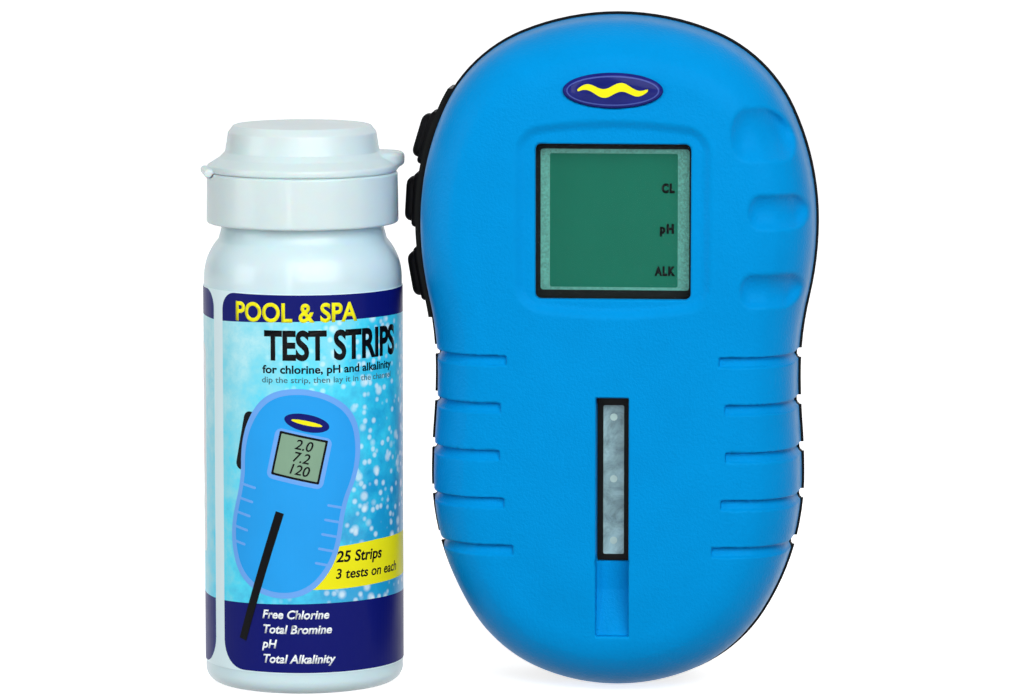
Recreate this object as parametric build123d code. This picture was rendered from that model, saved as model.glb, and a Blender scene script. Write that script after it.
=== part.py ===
"""Water test kit: a hand-held test strip reader standing beside a flip-top vial of test strips.

Frame: +Z up, the reader's face looks along -Y, the vial stands at -X and the reader at +X.
The origin is the centre of the kit's footprint, on the surface it stands on. Millimetres.
Reader pieces are drawn about the reader's own centre line, vial pieces about the vial's axis,
and both are moved to their places when they are written.
"""

import os
from math import cos, radians, sin

from build123d import *

# ---------------------------------------------------------------- places of the two items
VIAL_X = -37.32
READER_X, READER_Z = 19.68, 0.42

# ---------------------------------------------------------------- reader: outline and depth
# The outline goes up the right side as tangent arcs (radius, turn in degrees), from the lowest
# point. A negative radius turns the other way, at the waist. A last arc closes it at the top.
SIDE_ARCS = [(36, 22), (27, 36), (46, 32), (122, 4.5), (-122, 4.5), (-60, 13), (60, 13),
             (48, 25), (26.5, 42.5)]
FRONT_DEPTH = 16.5          # parting plane to the crown of the face
SKIRT_DEPTH = 14.6          # parting plane to the level around the crown
SKIRT_RADIUS = 6.5          # rounding of the front edge
CROWN_FOOT = 7.0            # distance of the crown's foot from the outline
CROWN_EDGE = 11.5           # distance of the crown's flat from the outline
FRONT_WALL = 2.0
SEAL_DEPTH = 1.2
SEAL_PROUD = 0.42
REAR_DEPTH = 16.2           # parting plane to the back
REAR_TAPER = 7.0            # degrees
REAR_RADIUS = 5.0
REAR_WALL = 2.0
BACK_WALL = 2.4
RIM_PROUD = 0.2             # how far the rear shell stands outside the front shell

# Grip grooves, five on each side, running round from the face to the back.
GROOVE_PITCH = 8.5
GROOVE_LOWEST_Z = 26.2
GROOVE_WIDTH = 1.8
GROOVE_DEPTH = 0.8
GROOVE_ENDS = [17.7, 19.3, 20.1, 19.9, 18.9]   # distance of each inner end from the centre line
GROOVE_BACK = 11.0          # how far the grooves run behind the parting plane

# Finger dimples on the upper right: centre x and z, half width and half height of each.
DIMPLES = [(27.4, 100.7, 6.2, 4.9), (29.6, 86.9, 5.2, 3.3), (28.2, 72.9, 5.6, 3.1)]
DIMPLE_DEPTH = 1.5
DIMPLE_TURN = 18.0

# ---------------------------------------------------------------- display
DISPLAY_Z = 85.0
DISPLAY_OPENING = 27.5
DISPLAY_CORNER = 1.0
SURROUND_HALF = 17.7        # half width of the soft frame round the display
SURROUND_TOP, SURROUND_FOOT, SURROUND_ARCH = 17.0, 15.5, 1.8
SURROUND_CORNER = 5.0
SURROUND_SLOPE_DEPTH = 1.3
LENS_SIZE, LENS_THICK = 31.0, 1.2
LENS_FRONT = 13.4           # distance in front of the parting plane
PANEL_SIZE, PANEL_THICK = 29.0, 2.6
FRAME_SIZE, FRAME_GAP, FRAME_CORNER = 34.0, 0.5, 2.5
ZEBRA_OUT, ZEBRA_HALF_LENGTH, ZEBRA_HALF_WIDTH = 12.6, 12.0, 1.1

# ---------------------------------------------------------------- badge
BADGE_Z = 108.3
BADGE_HALF_WIDTH, BADGE_HALF_HEIGHT = 8.8, 3.1
BADGE_SUNK, BADGE_THICK, BADGE_EDGE = 0.5, 1.2, 0.6

# ---------------------------------------------------------------- strip channel and optics
CHANNEL_WIDTH = 5.85
CHANNEL_TOP, CHANNEL_MID, CHANNEL_FOOT = 53.7, 23.9, 10.8
CHANNEL_FLOOR = 11.6        # distance of the optical window's frame from the parting plane
RAMP_LOW, RAMP_HIGH = 12.4, 14.2
TROUGH_WALL, TROUGH_BACK = 1.6, 10.0
STOP_HEIGHT, STOP_OUT = 1.3, 1.2     # the bar that stops the strip's end
SENSOR_FLANGE_HALF = 4.4
WINDOW_HALF_WIDTH = 2.1
SPOT_MIDDLE_Z, SPOT_PITCH = 38.6, 11.1
SPOT_RADIUS, LAMP_RADIUS = 1.1, 0.9
BAFFLE_HALF, BAFFLE_FRONT = 4.0, 8.55

# ---------------------------------------------------------------- boards
BOARD_FRONT, BOARD_THICK = 5.0, 1.6
BOARD_INSET = 5.5
BOARD_SCREWS = [(-22.0, 66.0), (22.0, 66.0), (-18.0, 30.0), (18.0, 30.0)]
BOARD_SCREW, BOARD_SCREW_HEAD = 0.85, 1.7
BOARD_BOSS_RADIUS = 2.3
# Soldered parts: x, z, width, height and thickness of each.
CHIPS = [(0, 95, 10, 10, 1.6), (14, 92, 5, 4, 1.4), (-13, 95, 4.5, 10, 2.6),
         (16, 80, 3, 6, 1.2), (-14, 80, 6, 4, 1.2)]
CAPACITOR_X, CAPACITOR_Z, CAPACITOR_RADIUS, CAPACITOR_TALL = 6.0, 84.0, 2.5, 4.5
SOLDER_GAP = 0.01

# ---------------------------------------------------------------- housing screws (x, z)
SCREW_PLACES = [(-19.5, 103.5), (19.5, 103.5), (-13.0, 11.5), (13.0, 11.5)]
SCREW_SHANK, SCREW_HEAD, SCREW_SEAT = 1.2, 2.6, 5.0
FRONT_BOSS_RADIUS, REAR_BOSS_RADIUS = 3.2, 3.9
PILOT_DEPTH = 9.0
TOUCH = 0.02                # gap between two pieces that rest on each other

# ---------------------------------------------------------------- side keys
# Each key: name, height on the outline, outward normal's angle above -X in degrees.
KEYS = [("button_upper", 97.8, 16.7), ("button_middle", 86.8, 3.4), ("button_lower", 73.7, -9.9)]
KEY_DEPTH_CENTRE = 6.5
KEY_TRAVEL = 0.8
COLLAR_LONG, COLLAR_DEEP, COLLAR_OUT = 9.8, 8.0, 1.9
CAP_LONG, CAP_DEEP, CAP_OUT = 8.0, 6.2, 3.3
FLANGE_GROWTH = 0.6         # how far the inner flange stands outside the collar, front and back
KEY_GAP = 0.2
BEZEL_LOW, BEZEL_HIGH = 65.8, 107.2
BEZEL_OUT, BEZEL_IN = 1.2, 1.9
BEZEL_FRONT, BEZEL_BACK = 1.5, 11.5
FLEX_INSET = 7.0

# ---------------------------------------------------------------- battery bay and door
BAY_LOW, BAY_HIGH, BAY_FRONT = 18.5, 69.5, 2.0
TRAY_HALF, TRAY_WALL = 12.5, 1.0
CELL_RADIUS, CELL_LENGTH, CELL_X, CELL_Y = 5.25, 44.5, 5.9, 8.4
DOOR_HALF, DOOR_LOW, DOOR_HIGH, DOOR_THICK = 14.3, 17.2, 71.8, 1.35
DOOR_GAP = 0.25
GRIP_FIRST_Z, GRIP_PITCH, GRIP_WIDTH, GRIP_HALF = 21.0, 1.6, 0.8, 6.0
THUMB_RADIUS, THUMB_OUT = 5.0, 3.6
PIN_RADIUS, PIN_LENGTH, PIN_Y, PIN_Z = 0.55, 1.1, 15.15, 73.2
BARREL_RADIUS, ARM_INNER, ARM_OUTER = 0.85, 9.6, 11.4
CONTACT_HALF, LEAF_HALF = 3.5, 1.2

# ---------------------------------------------------------------- label on the back
BACK_LABEL_Z, BACK_LABEL_WIDTH, BACK_LABEL_HEIGHT, BACK_LABEL_THICK = 91.0, 34.0, 20.0, 0.3

# ---------------------------------------------------------------- vial
VIAL_RADIUS, VIAL_WALL = 17.9, 1.1
LABEL_THICK, LABEL_LOW, LABEL_HIGH = 0.1, 4.0, 72.3
SHOULDER_Z, NECK_FOOT_Z, NECK_TOP_Z = 73.6, 82.7, 92.4
NECK_RADIUS, MOUTH_RADIUS = 14.0, 12.9
RING_RADIUS, RING_FOOT_Z, RING_TOP_Z = 17.2, 83.5, 92.6
LID_FOOT_Z, LID_RADIUS, LID_TOP_Z = 92.8, 17.15, 101.4
DRUM_RADIUS = 13.6
PLUG_FOOT_Z, PLUG_INNER = 89.4, 11.2
TAB_MIDDLE, TAB_LONG, TAB_WIDE, TAB_THICK, TAB_RISE = 14.9, 7.4, 10.0, 2.8, 2.1
LID_TURN = 12.0             # the thumb tab points this far back from +X, degrees
HINGE_RADIUS, KNUCKLE_RADIUS, KNUCKLE_HALF = 17.3, 0.8, 4.5

# ---------------------------------------------------------------- test strips
STRIP_COUNT, STRIPS_PER_STACK = 25, 9
STRIP_WIDTH, STRIP_LENGTH, STRIP_THICK = 5.0, 82.0, 0.3
PAD_SIZE, PAD_THICK, PAD_PITCH, PAD_FOOT = 5.0, 0.45, 11.1, 2.0
STACK_PITCH_X, STACK_PITCH_Y, STACK_FIRST_Y = 5.4, 0.95, 0.8
DESICCANT_RADIUS, DESICCANT_THICK = 15.5, 3.0
VIAL_FLOOR, FLOOR_RISE = 1.2, 0.9
STRIP_FOOT = VIAL_FLOOR + FLOOR_RISE + DESICCANT_THICK + 0.05


# ================================================================ shared helpers
def outline(grow=0.0):
    """The reader's outline as a face in the local XY of a sketch, grown or shrunk evenly."""
    point, heading = Vector(0, -grow), 0.0
    edges = []

    def arc(radius, turn):
        nonlocal point, heading
        side = 1 if radius > 0 else -1
        real = abs(radius) + side * grow

        def normal(angle):
            return Vector(-sin(radians(angle)), cos(radians(angle))) * side * real

        centre = point + normal(heading)
        middle = centre - normal(heading + side * turn / 2)
        heading += side * turn
        end = centre - normal(heading)
        edges.append(ThreePointArc(point, middle, end))
        point = end

    for radius, turn in SIDE_ARCS:
        arc(radius, turn)
    closing = 180 - heading
    arc(point.X / sin(radians(closing)) - grow, closing)
    left = [edge.mirror(Plane.YZ) for edge in edges]
    return make_face(Wire(edges + left))


def front_plane(distance):
    """A sketch plane that far in front of the parting plane, its X to the right and Y up."""
    return Plane.XZ.offset(distance)


def slab(grow, start, end):
    """The outline, grown, from y = start to y = end (end behind start)."""
    return extrude(front_plane(-end) * outline(grow), end - start)


def block(x0, x1, y0, y1, z0, z1):
    return Pos((x0 + x1) / 2, (y0 + y1) / 2, (z0 + z1) / 2) * Box(x1 - x0, y1 - y0, z1 - z0)


def rod_y(x, z, radius, y0, y1):
    """A round rod along Y."""
    return Pos(x, (y0 + y1) / 2, z) * Rot(90, 0, 0) * Cylinder(radius, y1 - y0)


def groove_heights():
    return [GROOVE_LOWEST_Z + GROOVE_PITCH * i for i in range(len(GROOVE_ENDS))]


def groove_bars():
    """Bars where the grip grooves run, much longer and deeper than the grooves."""
    bars = []
    for z, end in zip(groove_heights(), GROOVE_ENDS):
        for x0, x1 in ((end, 45), (-45, -end)):
            bar = block(x0, x1, -30, GROOVE_BACK, z - GROOVE_WIDTH / 2, z + GROOVE_WIDTH / 2)
            bars.append(bar)
    return Part() + bars


def write(name, shape, x, z):
    """Writes the piece as parts/name.step, moved to its item's place."""
    export_step(Pos(x, 0, z) * shape, f"parts/{name}.step")


# ================================================================ reader housing
def front_block(inset):
    """The front half as a plain solid, shrunk evenly by inset."""
    skirt = slab(-inset, -(SKIRT_DEPTH - inset), 0)
    rim = skirt.faces().sort_by(Axis.Y)[0].edges()
    skirt = fillet(rim, SKIRT_RADIUS - inset)
    foot = front_plane(SKIRT_DEPTH - inset - 0.02) * outline(-CROWN_FOOT - inset * 0.3)
    flat = front_plane(FRONT_DEPTH - inset) * outline(-CROWN_EDGE - inset * 0.3)
    return skirt + loft([foot, flat], ruled=True)


def surround_face():
    """The soft frame round the display: a rounded square with arched top and bottom."""
    half, high, low = SURROUND_HALF, SURROUND_TOP - 1, 1 - SURROUND_FOOT
    corners = [(half, low), (half, high), (-half, high), (-half, low)]
    loop = Wire([
        Line(corners[0], corners[1]),
        ThreePointArc(corners[1], (0, SURROUND_TOP + SURROUND_ARCH), corners[2]),
        Line(corners[2], corners[3]),
        ThreePointArc(corners[3], (0, -SURROUND_FOOT - SURROUND_ARCH), corners[0]),
    ])
    return fillet(make_face(loop).vertices(), SURROUND_CORNER)


def display_recess():
    """What is cut away for the sloping surround and the opening."""
    level = FRONT_DEPTH - SURROUND_SLOPE_DEPTH
    outer = front_plane(FRONT_DEPTH + 0.01) * Pos(0, DISPLAY_Z) * surround_face()
    inner_size = DISPLAY_OPENING + 1.6
    inner = front_plane(level) * Pos(0, DISPLAY_Z) * RectangleRounded(inner_size, inner_size, 1.6)
    slope = loft([outer, inner], ruled=True)
    opening = RectangleRounded(DISPLAY_OPENING, DISPLAY_OPENING, DISPLAY_CORNER)
    return slope + extrude(front_plane(LENS_FRONT - 5) * Pos(0, DISPLAY_Z) * opening, 15)


def channel_cut():
    """The strip channel: open through at the optical window, with a ramp below it."""
    half = CHANNEL_WIDTH / 2
    through = block(-half, half, -30, -8, CHANNEL_MID, CHANNEL_TOP)
    side = make_face(Polyline((-30, CHANNEL_FOOT), (-RAMP_HIGH, CHANNEL_FOOT),
                              (-RAMP_LOW, CHANNEL_MID), (-RAMP_LOW, CHANNEL_MID + 1),
                              (-30, CHANNEL_MID + 1), close=True))
    ramp = extrude(Plane.YZ * side, half, both=True)
    return through + ramp


def dimples():
    """Three shallow finger hollows, each an ellipsoid lying along the rounded edge."""
    made = []
    for x, z, half_width, half_height in DIMPLES:
        egg = scale(Sphere(1), by=(half_width, DIMPLE_DEPTH, half_height))
        made.append(Pos(x, -SKIRT_DEPTH - 0.1, z) * Rot(0, 0, DIMPLE_TURN) * egg)
    return Part() + made


def front_shell():
    grooves = groove_bars() - front_block(GROOVE_DEPTH)
    outer = front_block(0) - display_recess() - dimples() - grooves
    inner = front_block(FRONT_WALL)
    ceiling = -(FRONT_DEPTH - FRONT_WALL)
    seat_half = FRAME_SIZE / 2 + FRAME_GAP
    seat = block(-seat_half, seat_half, ceiling - 0.5, -LENS_FRONT,
                 DISPLAY_Z - seat_half, DISPLAY_Z + seat_half)
    wall = CHANNEL_WIDTH / 2 + TROUGH_WALL
    trough = block(-wall, wall, ceiling - 0.5, -TROUGH_BACK, CHANNEL_FOOT - 2,
                   CHANNEL_TOP + TROUGH_WALL)
    bosses = Part() + [rod_y(x, z, FRONT_BOSS_RADIUS, ceiling - 1, 0) for x, z in SCREW_PLACES]
    bosses += [rod_y(x, z, BOARD_BOSS_RADIUS, ceiling - 1, -BOARD_FRONT - TOUCH)
               for x, z in BOARD_SCREWS]
    added = (seat + trough + bosses) & front_block(FRONT_WALL * 0.5)
    pilots = Part() + [rod_y(x, z, SCREW_SHANK, -PILOT_DEPTH, 1) for x, z in SCREW_PLACES]
    pilots += [rod_y(x, z, BOARD_SCREW + 0.03, -PILOT_DEPTH - 0.2, 0) for x, z in BOARD_SCREWS]
    shell = (outer - inner) + added
    return shell - display_recess() - channel_cut() - pilots - badge_blank(0.1)


def badge_blank(gap):
    """The badge's body through the shell's face; gap widens it into its pocket."""
    oval = Ellipse(BADGE_HALF_WIDTH + gap, BADGE_HALF_HEIGHT + gap)
    return extrude(front_plane(FRONT_DEPTH - BADGE_SUNK) * Pos(0, BADGE_Z) * oval, BADGE_THICK)


def badge():
    return fillet(badge_blank(0).faces().sort_by(Axis.Y)[0].edges(), BADGE_EDGE)


def shell_seal():
    band = slab(SEAL_PROUD, 0, SEAL_DEPTH) - slab(-1.6, -1, SEAL_DEPTH + 1)
    return band - (groove_bars() - slab(SEAL_PROUD - GROOVE_DEPTH, -40, 40))


def rear_block(inset):
    """The rear half, shrunk evenly by inset: its sides taper and its underside stays level."""
    start = front_plane(-SEAL_DEPTH) * outline(RIM_PROUD - inset)
    depth = REAR_DEPTH - SEAL_DEPTH - inset
    shrink = depth * sin(radians(REAR_TAPER))
    end = front_plane(-SEAL_DEPTH - depth) * Pos(0, -shrink) * outline(RIM_PROUD - inset - shrink)
    body = loft([start, end], ruled=True)
    return fillet(body.faces().sort_by(Axis.Y)[-1].edges(), REAR_RADIUS - inset * 0.5)


def door_plate(gap):
    """The battery door's plate; gap widens it into its seat."""
    return block(-DOOR_HALF - gap, DOOR_HALF + gap, REAR_DEPTH - DOOR_THICK - gap / 3,
                 REAR_DEPTH + (1 if gap else 0), DOOR_LOW - gap, DOOR_HIGH + gap * 2.4)


def door_pins(gap):
    """The two hinge pins at the top of the door, pointing outward."""
    pins = Part()
    for side in (-1, 1):
        middle = side * (ARM_OUTER + PIN_LENGTH / 2)
        length = PIN_LENGTH + gap * 4
        pins += Pos(middle, PIN_Y, PIN_Z) * Rot(0, 90, 0) * Cylinder(PIN_RADIUS + gap, length)
    return pins


def switch_rib():
    """The wall inside the rear shell that backs the side keys' circuit."""
    rib = slab(-FLEX_INSET - 0.45, 2, 30) - slab(-FLEX_INSET - 1.7, -10, 31)
    return rib & block(-60, -10, -60, 60, BEZEL_LOW + 1, BEZEL_HIGH - 6)


def rear_shell():
    grooves = groove_bars() - rear_block(GROOVE_DEPTH) - block(-60, 60, -60, SEAL_DEPTH, 0, 200)
    hollow = rear_block(REAR_WALL) & slab(10, 0, REAR_DEPTH - BACK_WALL)
    shell = rear_block(0) - hollow - grooves
    bosses = Part() + [rod_y(x, z, REAR_BOSS_RADIUS, SEAL_DEPTH, REAR_DEPTH - 1)
                       for x, z in SCREW_PLACES]
    shell += (bosses + switch_rib()) & rear_block(1.0)
    shell += [rod_y(x, z, REAR_BOSS_RADIUS, TOUCH, 3) for x, z in SCREW_PLACES]
    holes = Part() + [rod_y(x, z, SCREW_SHANK + 0.3, 0, 20) for x, z in SCREW_PLACES]
    holes += [rod_y(x, z, SCREW_HEAD + 0.2, SCREW_SEAT, 20) for x, z in SCREW_PLACES]
    bay = block(-TRAY_HALF + TRAY_WALL, TRAY_HALF - TRAY_WALL, 10, 20,
                BAY_LOW + TRAY_WALL, BAY_HIGH - TRAY_WALL)
    for side in (-1, 1):
        middle = side * (ARM_INNER + ARM_OUTER) / 2
        half = (ARM_OUTER - ARM_INNER) / 2 + 0.15
        holes += block(middle - half, middle + half, 10, 20, DOOR_HIGH - 0.5, PIN_Z + BARREL_RADIUS + 0.3)
    holes += door_pins(0.06)
    thumb = Pos(0, REAR_DEPTH + THUMB_OUT, DOOR_LOW - 0.5) * Sphere(THUMB_RADIUS)
    label = rear_label_plate(0.1)
    return shell - holes - bay - door_plate(DOOR_GAP) - thumb - label - bezel_window()


def rear_label_plate(gap):
    """The printed plate on the back; gap widens it into its recess."""
    size = RectangleRounded(BACK_LABEL_WIDTH + gap * 2, BACK_LABEL_HEIGHT + gap * 2, 2.0)
    return extrude(front_plane(-REAR_DEPTH) * Pos(0, BACK_LABEL_Z) * size, BACK_LABEL_THICK)


def housing_screws():
    """Four pan-head screws, driven from the back into the front shell's bosses."""
    screws = []
    for x, z in SCREW_PLACES:
        screw = rod_y(x, z, SCREW_SHANK - 0.03, -8, SCREW_SEAT + 0.5)
        screw += rod_y(x, z, SCREW_HEAD, SCREW_SEAT + TOUCH, SCREW_SEAT + 2)
        screw -= block(x - 1.7, x + 1.7, SCREW_SEAT + 1.1, 20, z - 0.35, z + 0.35)
        screw -= block(x - 0.35, x + 0.35, SCREW_SEAT + 1.1, 20, z - 1.7, z + 1.7)
        screws.append(screw)
    return Compound(children=[s for screw in screws for s in screw.solids()])


# ================================================================ display stack
def display_square(size, front, back, corner=0.5):
    face = front_plane(-back) * Pos(0, DISPLAY_Z) * RectangleRounded(size, size, corner)
    return extrude(face, back - front)


def display_lens():
    return display_square(LENS_SIZE, -LENS_FRONT + TOUCH, -LENS_FRONT + LENS_THICK)


def display_panel():
    front = -LENS_FRONT + LENS_THICK + 0.2
    return display_square(PANEL_SIZE, front, front + PANEL_THICK)


def display_frame():
    """The black holder that presses the lens and the panel against the front shell."""
    front, back = -LENS_FRONT + TOUCH, -BOARD_FRONT - 0.05
    frame = display_square(FRAME_SIZE, front, back, FRAME_CORNER)
    frame -= display_square(LENS_SIZE + 0.1, front - 1, -LENS_FRONT + LENS_THICK + 0.05)
    frame -= display_square(PANEL_SIZE + 0.1, front, back + 1)
    return frame


def zebra_connectors():
    """Two striped rubber strips that carry the display's signals to the board."""
    front = -LENS_FRONT + LENS_THICK + 0.22 + PANEL_THICK
    strips = []
    for side in (-1, 1):
        z = DISPLAY_Z + side * ZEBRA_OUT
        strip = block(-ZEBRA_HALF_LENGTH, ZEBRA_HALF_LENGTH, front, -BOARD_FRONT - TOUCH,
                      z - ZEBRA_HALF_WIDTH, z + ZEBRA_HALF_WIDTH)
        strips += strip.solids()
    return Compound(children=strips)


# ================================================================ optics under the strip channel
def sensor_frame():
    """The black frame whose nose shows in the channel, with its flange behind the trough."""
    half = CHANNEL_WIDTH / 2 - 0.05
    low, high = CHANNEL_MID + 0.05, CHANNEL_TOP - 0.05
    nose = block(-half, half, -CHANNEL_FLOOR, -9.0, low, high)
    flange = block(-SENSOR_FLANGE_HALF, SENSOR_FLANGE_HALF, -TROUGH_BACK + 0.05, -BAFFLE_FRONT - 0.05,
                   CHANNEL_MID - 3, CHANNEL_TOP + 1.5)
    stop = block(-half, half, -CHANNEL_FLOOR - STOP_OUT, -CHANNEL_FLOOR, high - STOP_HEIGHT, high)
    w = WINDOW_HALF_WIDTH
    seat = block(-w, w, -CHANNEL_FLOOR - 0.1, -10.6, low + 0.8, high - 1.5)
    light = block(-w + 0.4, w - 0.4, -12, -8, low + 1.2, high - 1.9)
    return nose + flange + stop - seat - light


def sensor_window():
    w = WINDOW_HALF_WIDTH - 0.05
    return block(-w, w, -CHANNEL_FLOOR + 0.1, -10.62, CHANNEL_MID + 0.9, CHANNEL_TOP - 1.6)


def spot_heights():
    return [SPOT_MIDDLE_Z + SPOT_PITCH * i for i in (-1, 0, 1)]


def light_baffle():
    """The pale block that leads each lamp's light to one pad of the strip."""
    body = block(-BAFFLE_HALF, BAFFLE_HALF, -BAFFLE_FRONT, -BOARD_FRONT - TOUCH,
                 CHANNEL_MID - 2, CHANNEL_TOP + 0.5)
    body += block(-1.6, 1.6, -10.3, -8.0, CHANNEL_MID + 1.4, CHANNEL_TOP - 2.1)
    for z in spot_heights():
        body -= rod_y(0, z, SPOT_RADIUS, -11, -BOARD_FRONT + 1)
        body -= block(-3.2, 3.2, -7.0, -BOARD_FRONT + 1, z - 1.5, z + 1.5)
    return body


def sensor_leds():
    lamps = []
    for z in spot_heights():
        lamp = rod_y(0, z, LAMP_RADIUS, -8.2, -6.4)
        lamp += block(-1.0, 1.0, -6.5, -BOARD_FRONT, z - 1.2, z + 1.2)
        lamps += lamp.solids()
    return Compound(children=lamps)


def sensor_photodiodes():
    cells = []
    for z in spot_heights():
        cells += block(1.4, 2.9, -6.3, -BOARD_FRONT, z - 1.1, z + 1.1).solids()
    return Compound(children=cells)


# ================================================================ main board
def main_board():
    board = slab(-BOARD_INSET, -BOARD_FRONT, -BOARD_FRONT + BOARD_THICK)
    for x, z in SCREW_PLACES:
        board -= rod_y(x, z, FRONT_BOSS_RADIUS + 0.4, -PILOT_DEPTH, 0)
    for x, z in BOARD_SCREWS:
        board -= rod_y(x, z, BOARD_SCREW + 0.05, -PILOT_DEPTH, 0)
    return board


def board_chips():
    """The parts soldered on the back of the board: controller, memory, crystal, capacitors."""
    back = -BOARD_FRONT + BOARD_THICK
    made = []
    for x, z, wide, high, thick in CHIPS:
        made += block(x - wide / 2, x + wide / 2, back + SOLDER_GAP, back + thick,
                      z - high / 2, z + high / 2).solids()
    for side in (-1, 1):
        made += rod_y(side * CAPACITOR_X, CAPACITOR_Z, CAPACITOR_RADIUS, back + SOLDER_GAP,
                      back + CAPACITOR_TALL).solids()
    return Compound(children=made)


def board_screws():
    back = -BOARD_FRONT + BOARD_THICK
    made = []
    for x, z in BOARD_SCREWS:
        screw = rod_y(x, z, BOARD_SCREW, -PILOT_DEPTH, back + 0.1)
        screw += rod_y(x, z, BOARD_SCREW_HEAD, back + SOLDER_GAP, back + 1.3)
        made += screw.solids()
    return Compound(children=made)


# ================================================================ side keys
def key_place(height, angle):
    """A location on the left outline whose local X points straight out and Z runs along the edge."""
    return Pos(-edge_x(height), KEY_DEPTH_CENTRE, height) * Rot(0, angle, 0) * Rot(0, 0, 180)


def edge_x(height):
    """Half width of the outline at a height near the side keys."""
    widest_x, widest_z, upper, lower = 35.58, 83.87, 48.0, 60.0
    rise = height - widest_z
    radius = upper if rise > 0 else lower
    return widest_x - radius + (radius**2 - rise**2) ** 0.5


def local_box(x0, x1, deep, long, corner=0.0):
    """A box from x0 to x1 along a key's own axis, with rounded outer edges."""
    body = Pos((x0 + x1) / 2, 0, 0) * Box(x1 - x0, deep, long)
    if corner:
        body = fillet(body.edges().filter_by(Axis.X), corner * 1.6)
        body = fillet(body.faces().sort_by(Axis.X)[-1].edges(), corner)
    return body


def key_cap(height, angle):
    collar = local_box(-1.0, COLLAR_OUT, COLLAR_DEEP, COLLAR_LONG, 0.7)
    cap = local_box(COLLAR_OUT - 1.2, CAP_OUT, CAP_DEEP, CAP_LONG, 1.2)
    grow = FLANGE_GROWTH * 2
    flange = local_box(-1.8, -1.0, COLLAR_DEEP + grow, COLLAR_LONG)
    stem = Pos(-2.9, 0, 0) * Rot(0, 90, 0) * Cylinder(1.7, 2.4)
    return key_place(height, angle) * (collar + cap + flange + stem)


def bezel_region(gap):
    """The curved strip along the left side that the keys' bezel fills."""
    strip = slab(BEZEL_OUT + (5 if gap else 0), BEZEL_FRONT - gap, BEZEL_BACK + gap)
    strip -= slab(-BEZEL_IN - (8 if gap else 0), -10, 30)
    return strip & block(-60, -10, -60, 60, BEZEL_LOW - gap, BEZEL_HIGH + gap)


def bezel_window():
    """The opening in the rear shell's side for the bezel, down to the switches behind it."""
    inner = slab(BEZEL_OUT + 5, BEZEL_FRONT - 0.1, BEZEL_BACK + 0.1) - slab(-5.5, -10, 30)
    return inner & block(-60, -10, -60, 60, BEZEL_LOW - 0.1, BEZEL_HIGH + 0.1)


def button_bezel():
    bezel = bezel_region(0)
    deep, long = COLLAR_DEEP + KEY_GAP * 2, COLLAR_LONG + KEY_GAP * 2
    for _, height, angle in KEYS:
        hole = local_box(-9, 9, deep, long)
        pocket = local_box(-9, -1.0 + 0.08, deep + FLANGE_GROWTH * 2, long)
        bezel -= key_place(height, angle) * (hole + pocket)
    return bezel


def switch_flex():
    """The flexible circuit behind the keys, following the side wall, with its tail to the board."""
    strip = slab(-FLEX_INSET, 3.0, 10.0) - slab(-FLEX_INSET - 0.4, -10, 30)
    return strip & block(-60, -10, -60, 60, BEZEL_LOW + 1, BEZEL_HIGH - 6)


def tact_switches():
    made = []
    for _, height, angle in KEYS:
        body = Pos(-6.2, 0, 0) * Box(1.3, 5.2, 5.2)
        plunger = Pos(-5.35, 0, 0) * Rot(0, 90, 0) * Cylinder(1.4, 0.6)
        made += (key_place(height, angle) * (body + plunger)).solids()
    return Compound(children=made)


# ================================================================ battery bay
def battery_tray():
    """An open tray with a low rib between the two cells."""
    back = REAR_DEPTH - BACK_WALL - TOUCH
    tray = block(-TRAY_HALF, TRAY_HALF, BAY_FRONT, back, BAY_LOW, BAY_HIGH)
    tray -= block(-TRAY_HALF + TRAY_WALL, TRAY_HALF - TRAY_WALL, BAY_FRONT + TRAY_WALL, back + 1,
                  BAY_LOW + TRAY_WALL, BAY_HIGH - TRAY_WALL)
    rib = block(-0.4, 0.4, BAY_FRONT + 0.5, 6.0, BAY_LOW + 4, BAY_HIGH - 4)
    return tray + rib


def battery_cells():
    """Two small round cells, side by side and head to tail."""
    middle = (BAY_LOW + BAY_HIGH) / 2
    cell = Pos(0, 0, -0.4) * Cylinder(CELL_RADIUS, CELL_LENGTH - 0.8)
    cell = fillet(cell.edges(), 0.5) + Pos(0, 0, CELL_LENGTH / 2 - 0.5) * Cylinder(1.9, 1.0)
    upright = Pos(-CELL_X, CELL_Y, middle) * cell
    turned = Pos(CELL_X, CELL_Y, middle) * Rot(180, 0, 0) * cell
    return Compound(children=upright.solids() + turned.solids())


def battery_contacts():
    """Sprung metal leaves at both ends of the bay; the upper pair is joined."""
    middle = (BAY_LOW + BAY_HIGH) / 2
    half = CELL_LENGTH / 2
    low, high = BAY_LOW + TRAY_WALL, BAY_HIGH - TRAY_WALL
    made = []
    for side in (-1, 1):
        x = side * CELL_X
        plate = block(x - CONTACT_HALF, x + CONTACT_HALF, 4.5, 12, low + 0.05, low + 0.45)
        plate += block(x - LEAF_HALF, x + LEAF_HALF, 7.2, 9.6, low + 0.4, middle - half - 0.05)
        made += plate.solids()
    bridge = block(-CELL_X - CONTACT_HALF, CELL_X + CONTACT_HALF, 4.5, 12, high - 0.45, high - 0.05)
    for side in (-1, 1):
        x = side * CELL_X
        bridge += block(x - LEAF_HALF, x + LEAF_HALF, 7.2, 9.6, middle + half + 0.05, high - 0.4)
    return Compound(children=made + bridge.solids())


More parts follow.
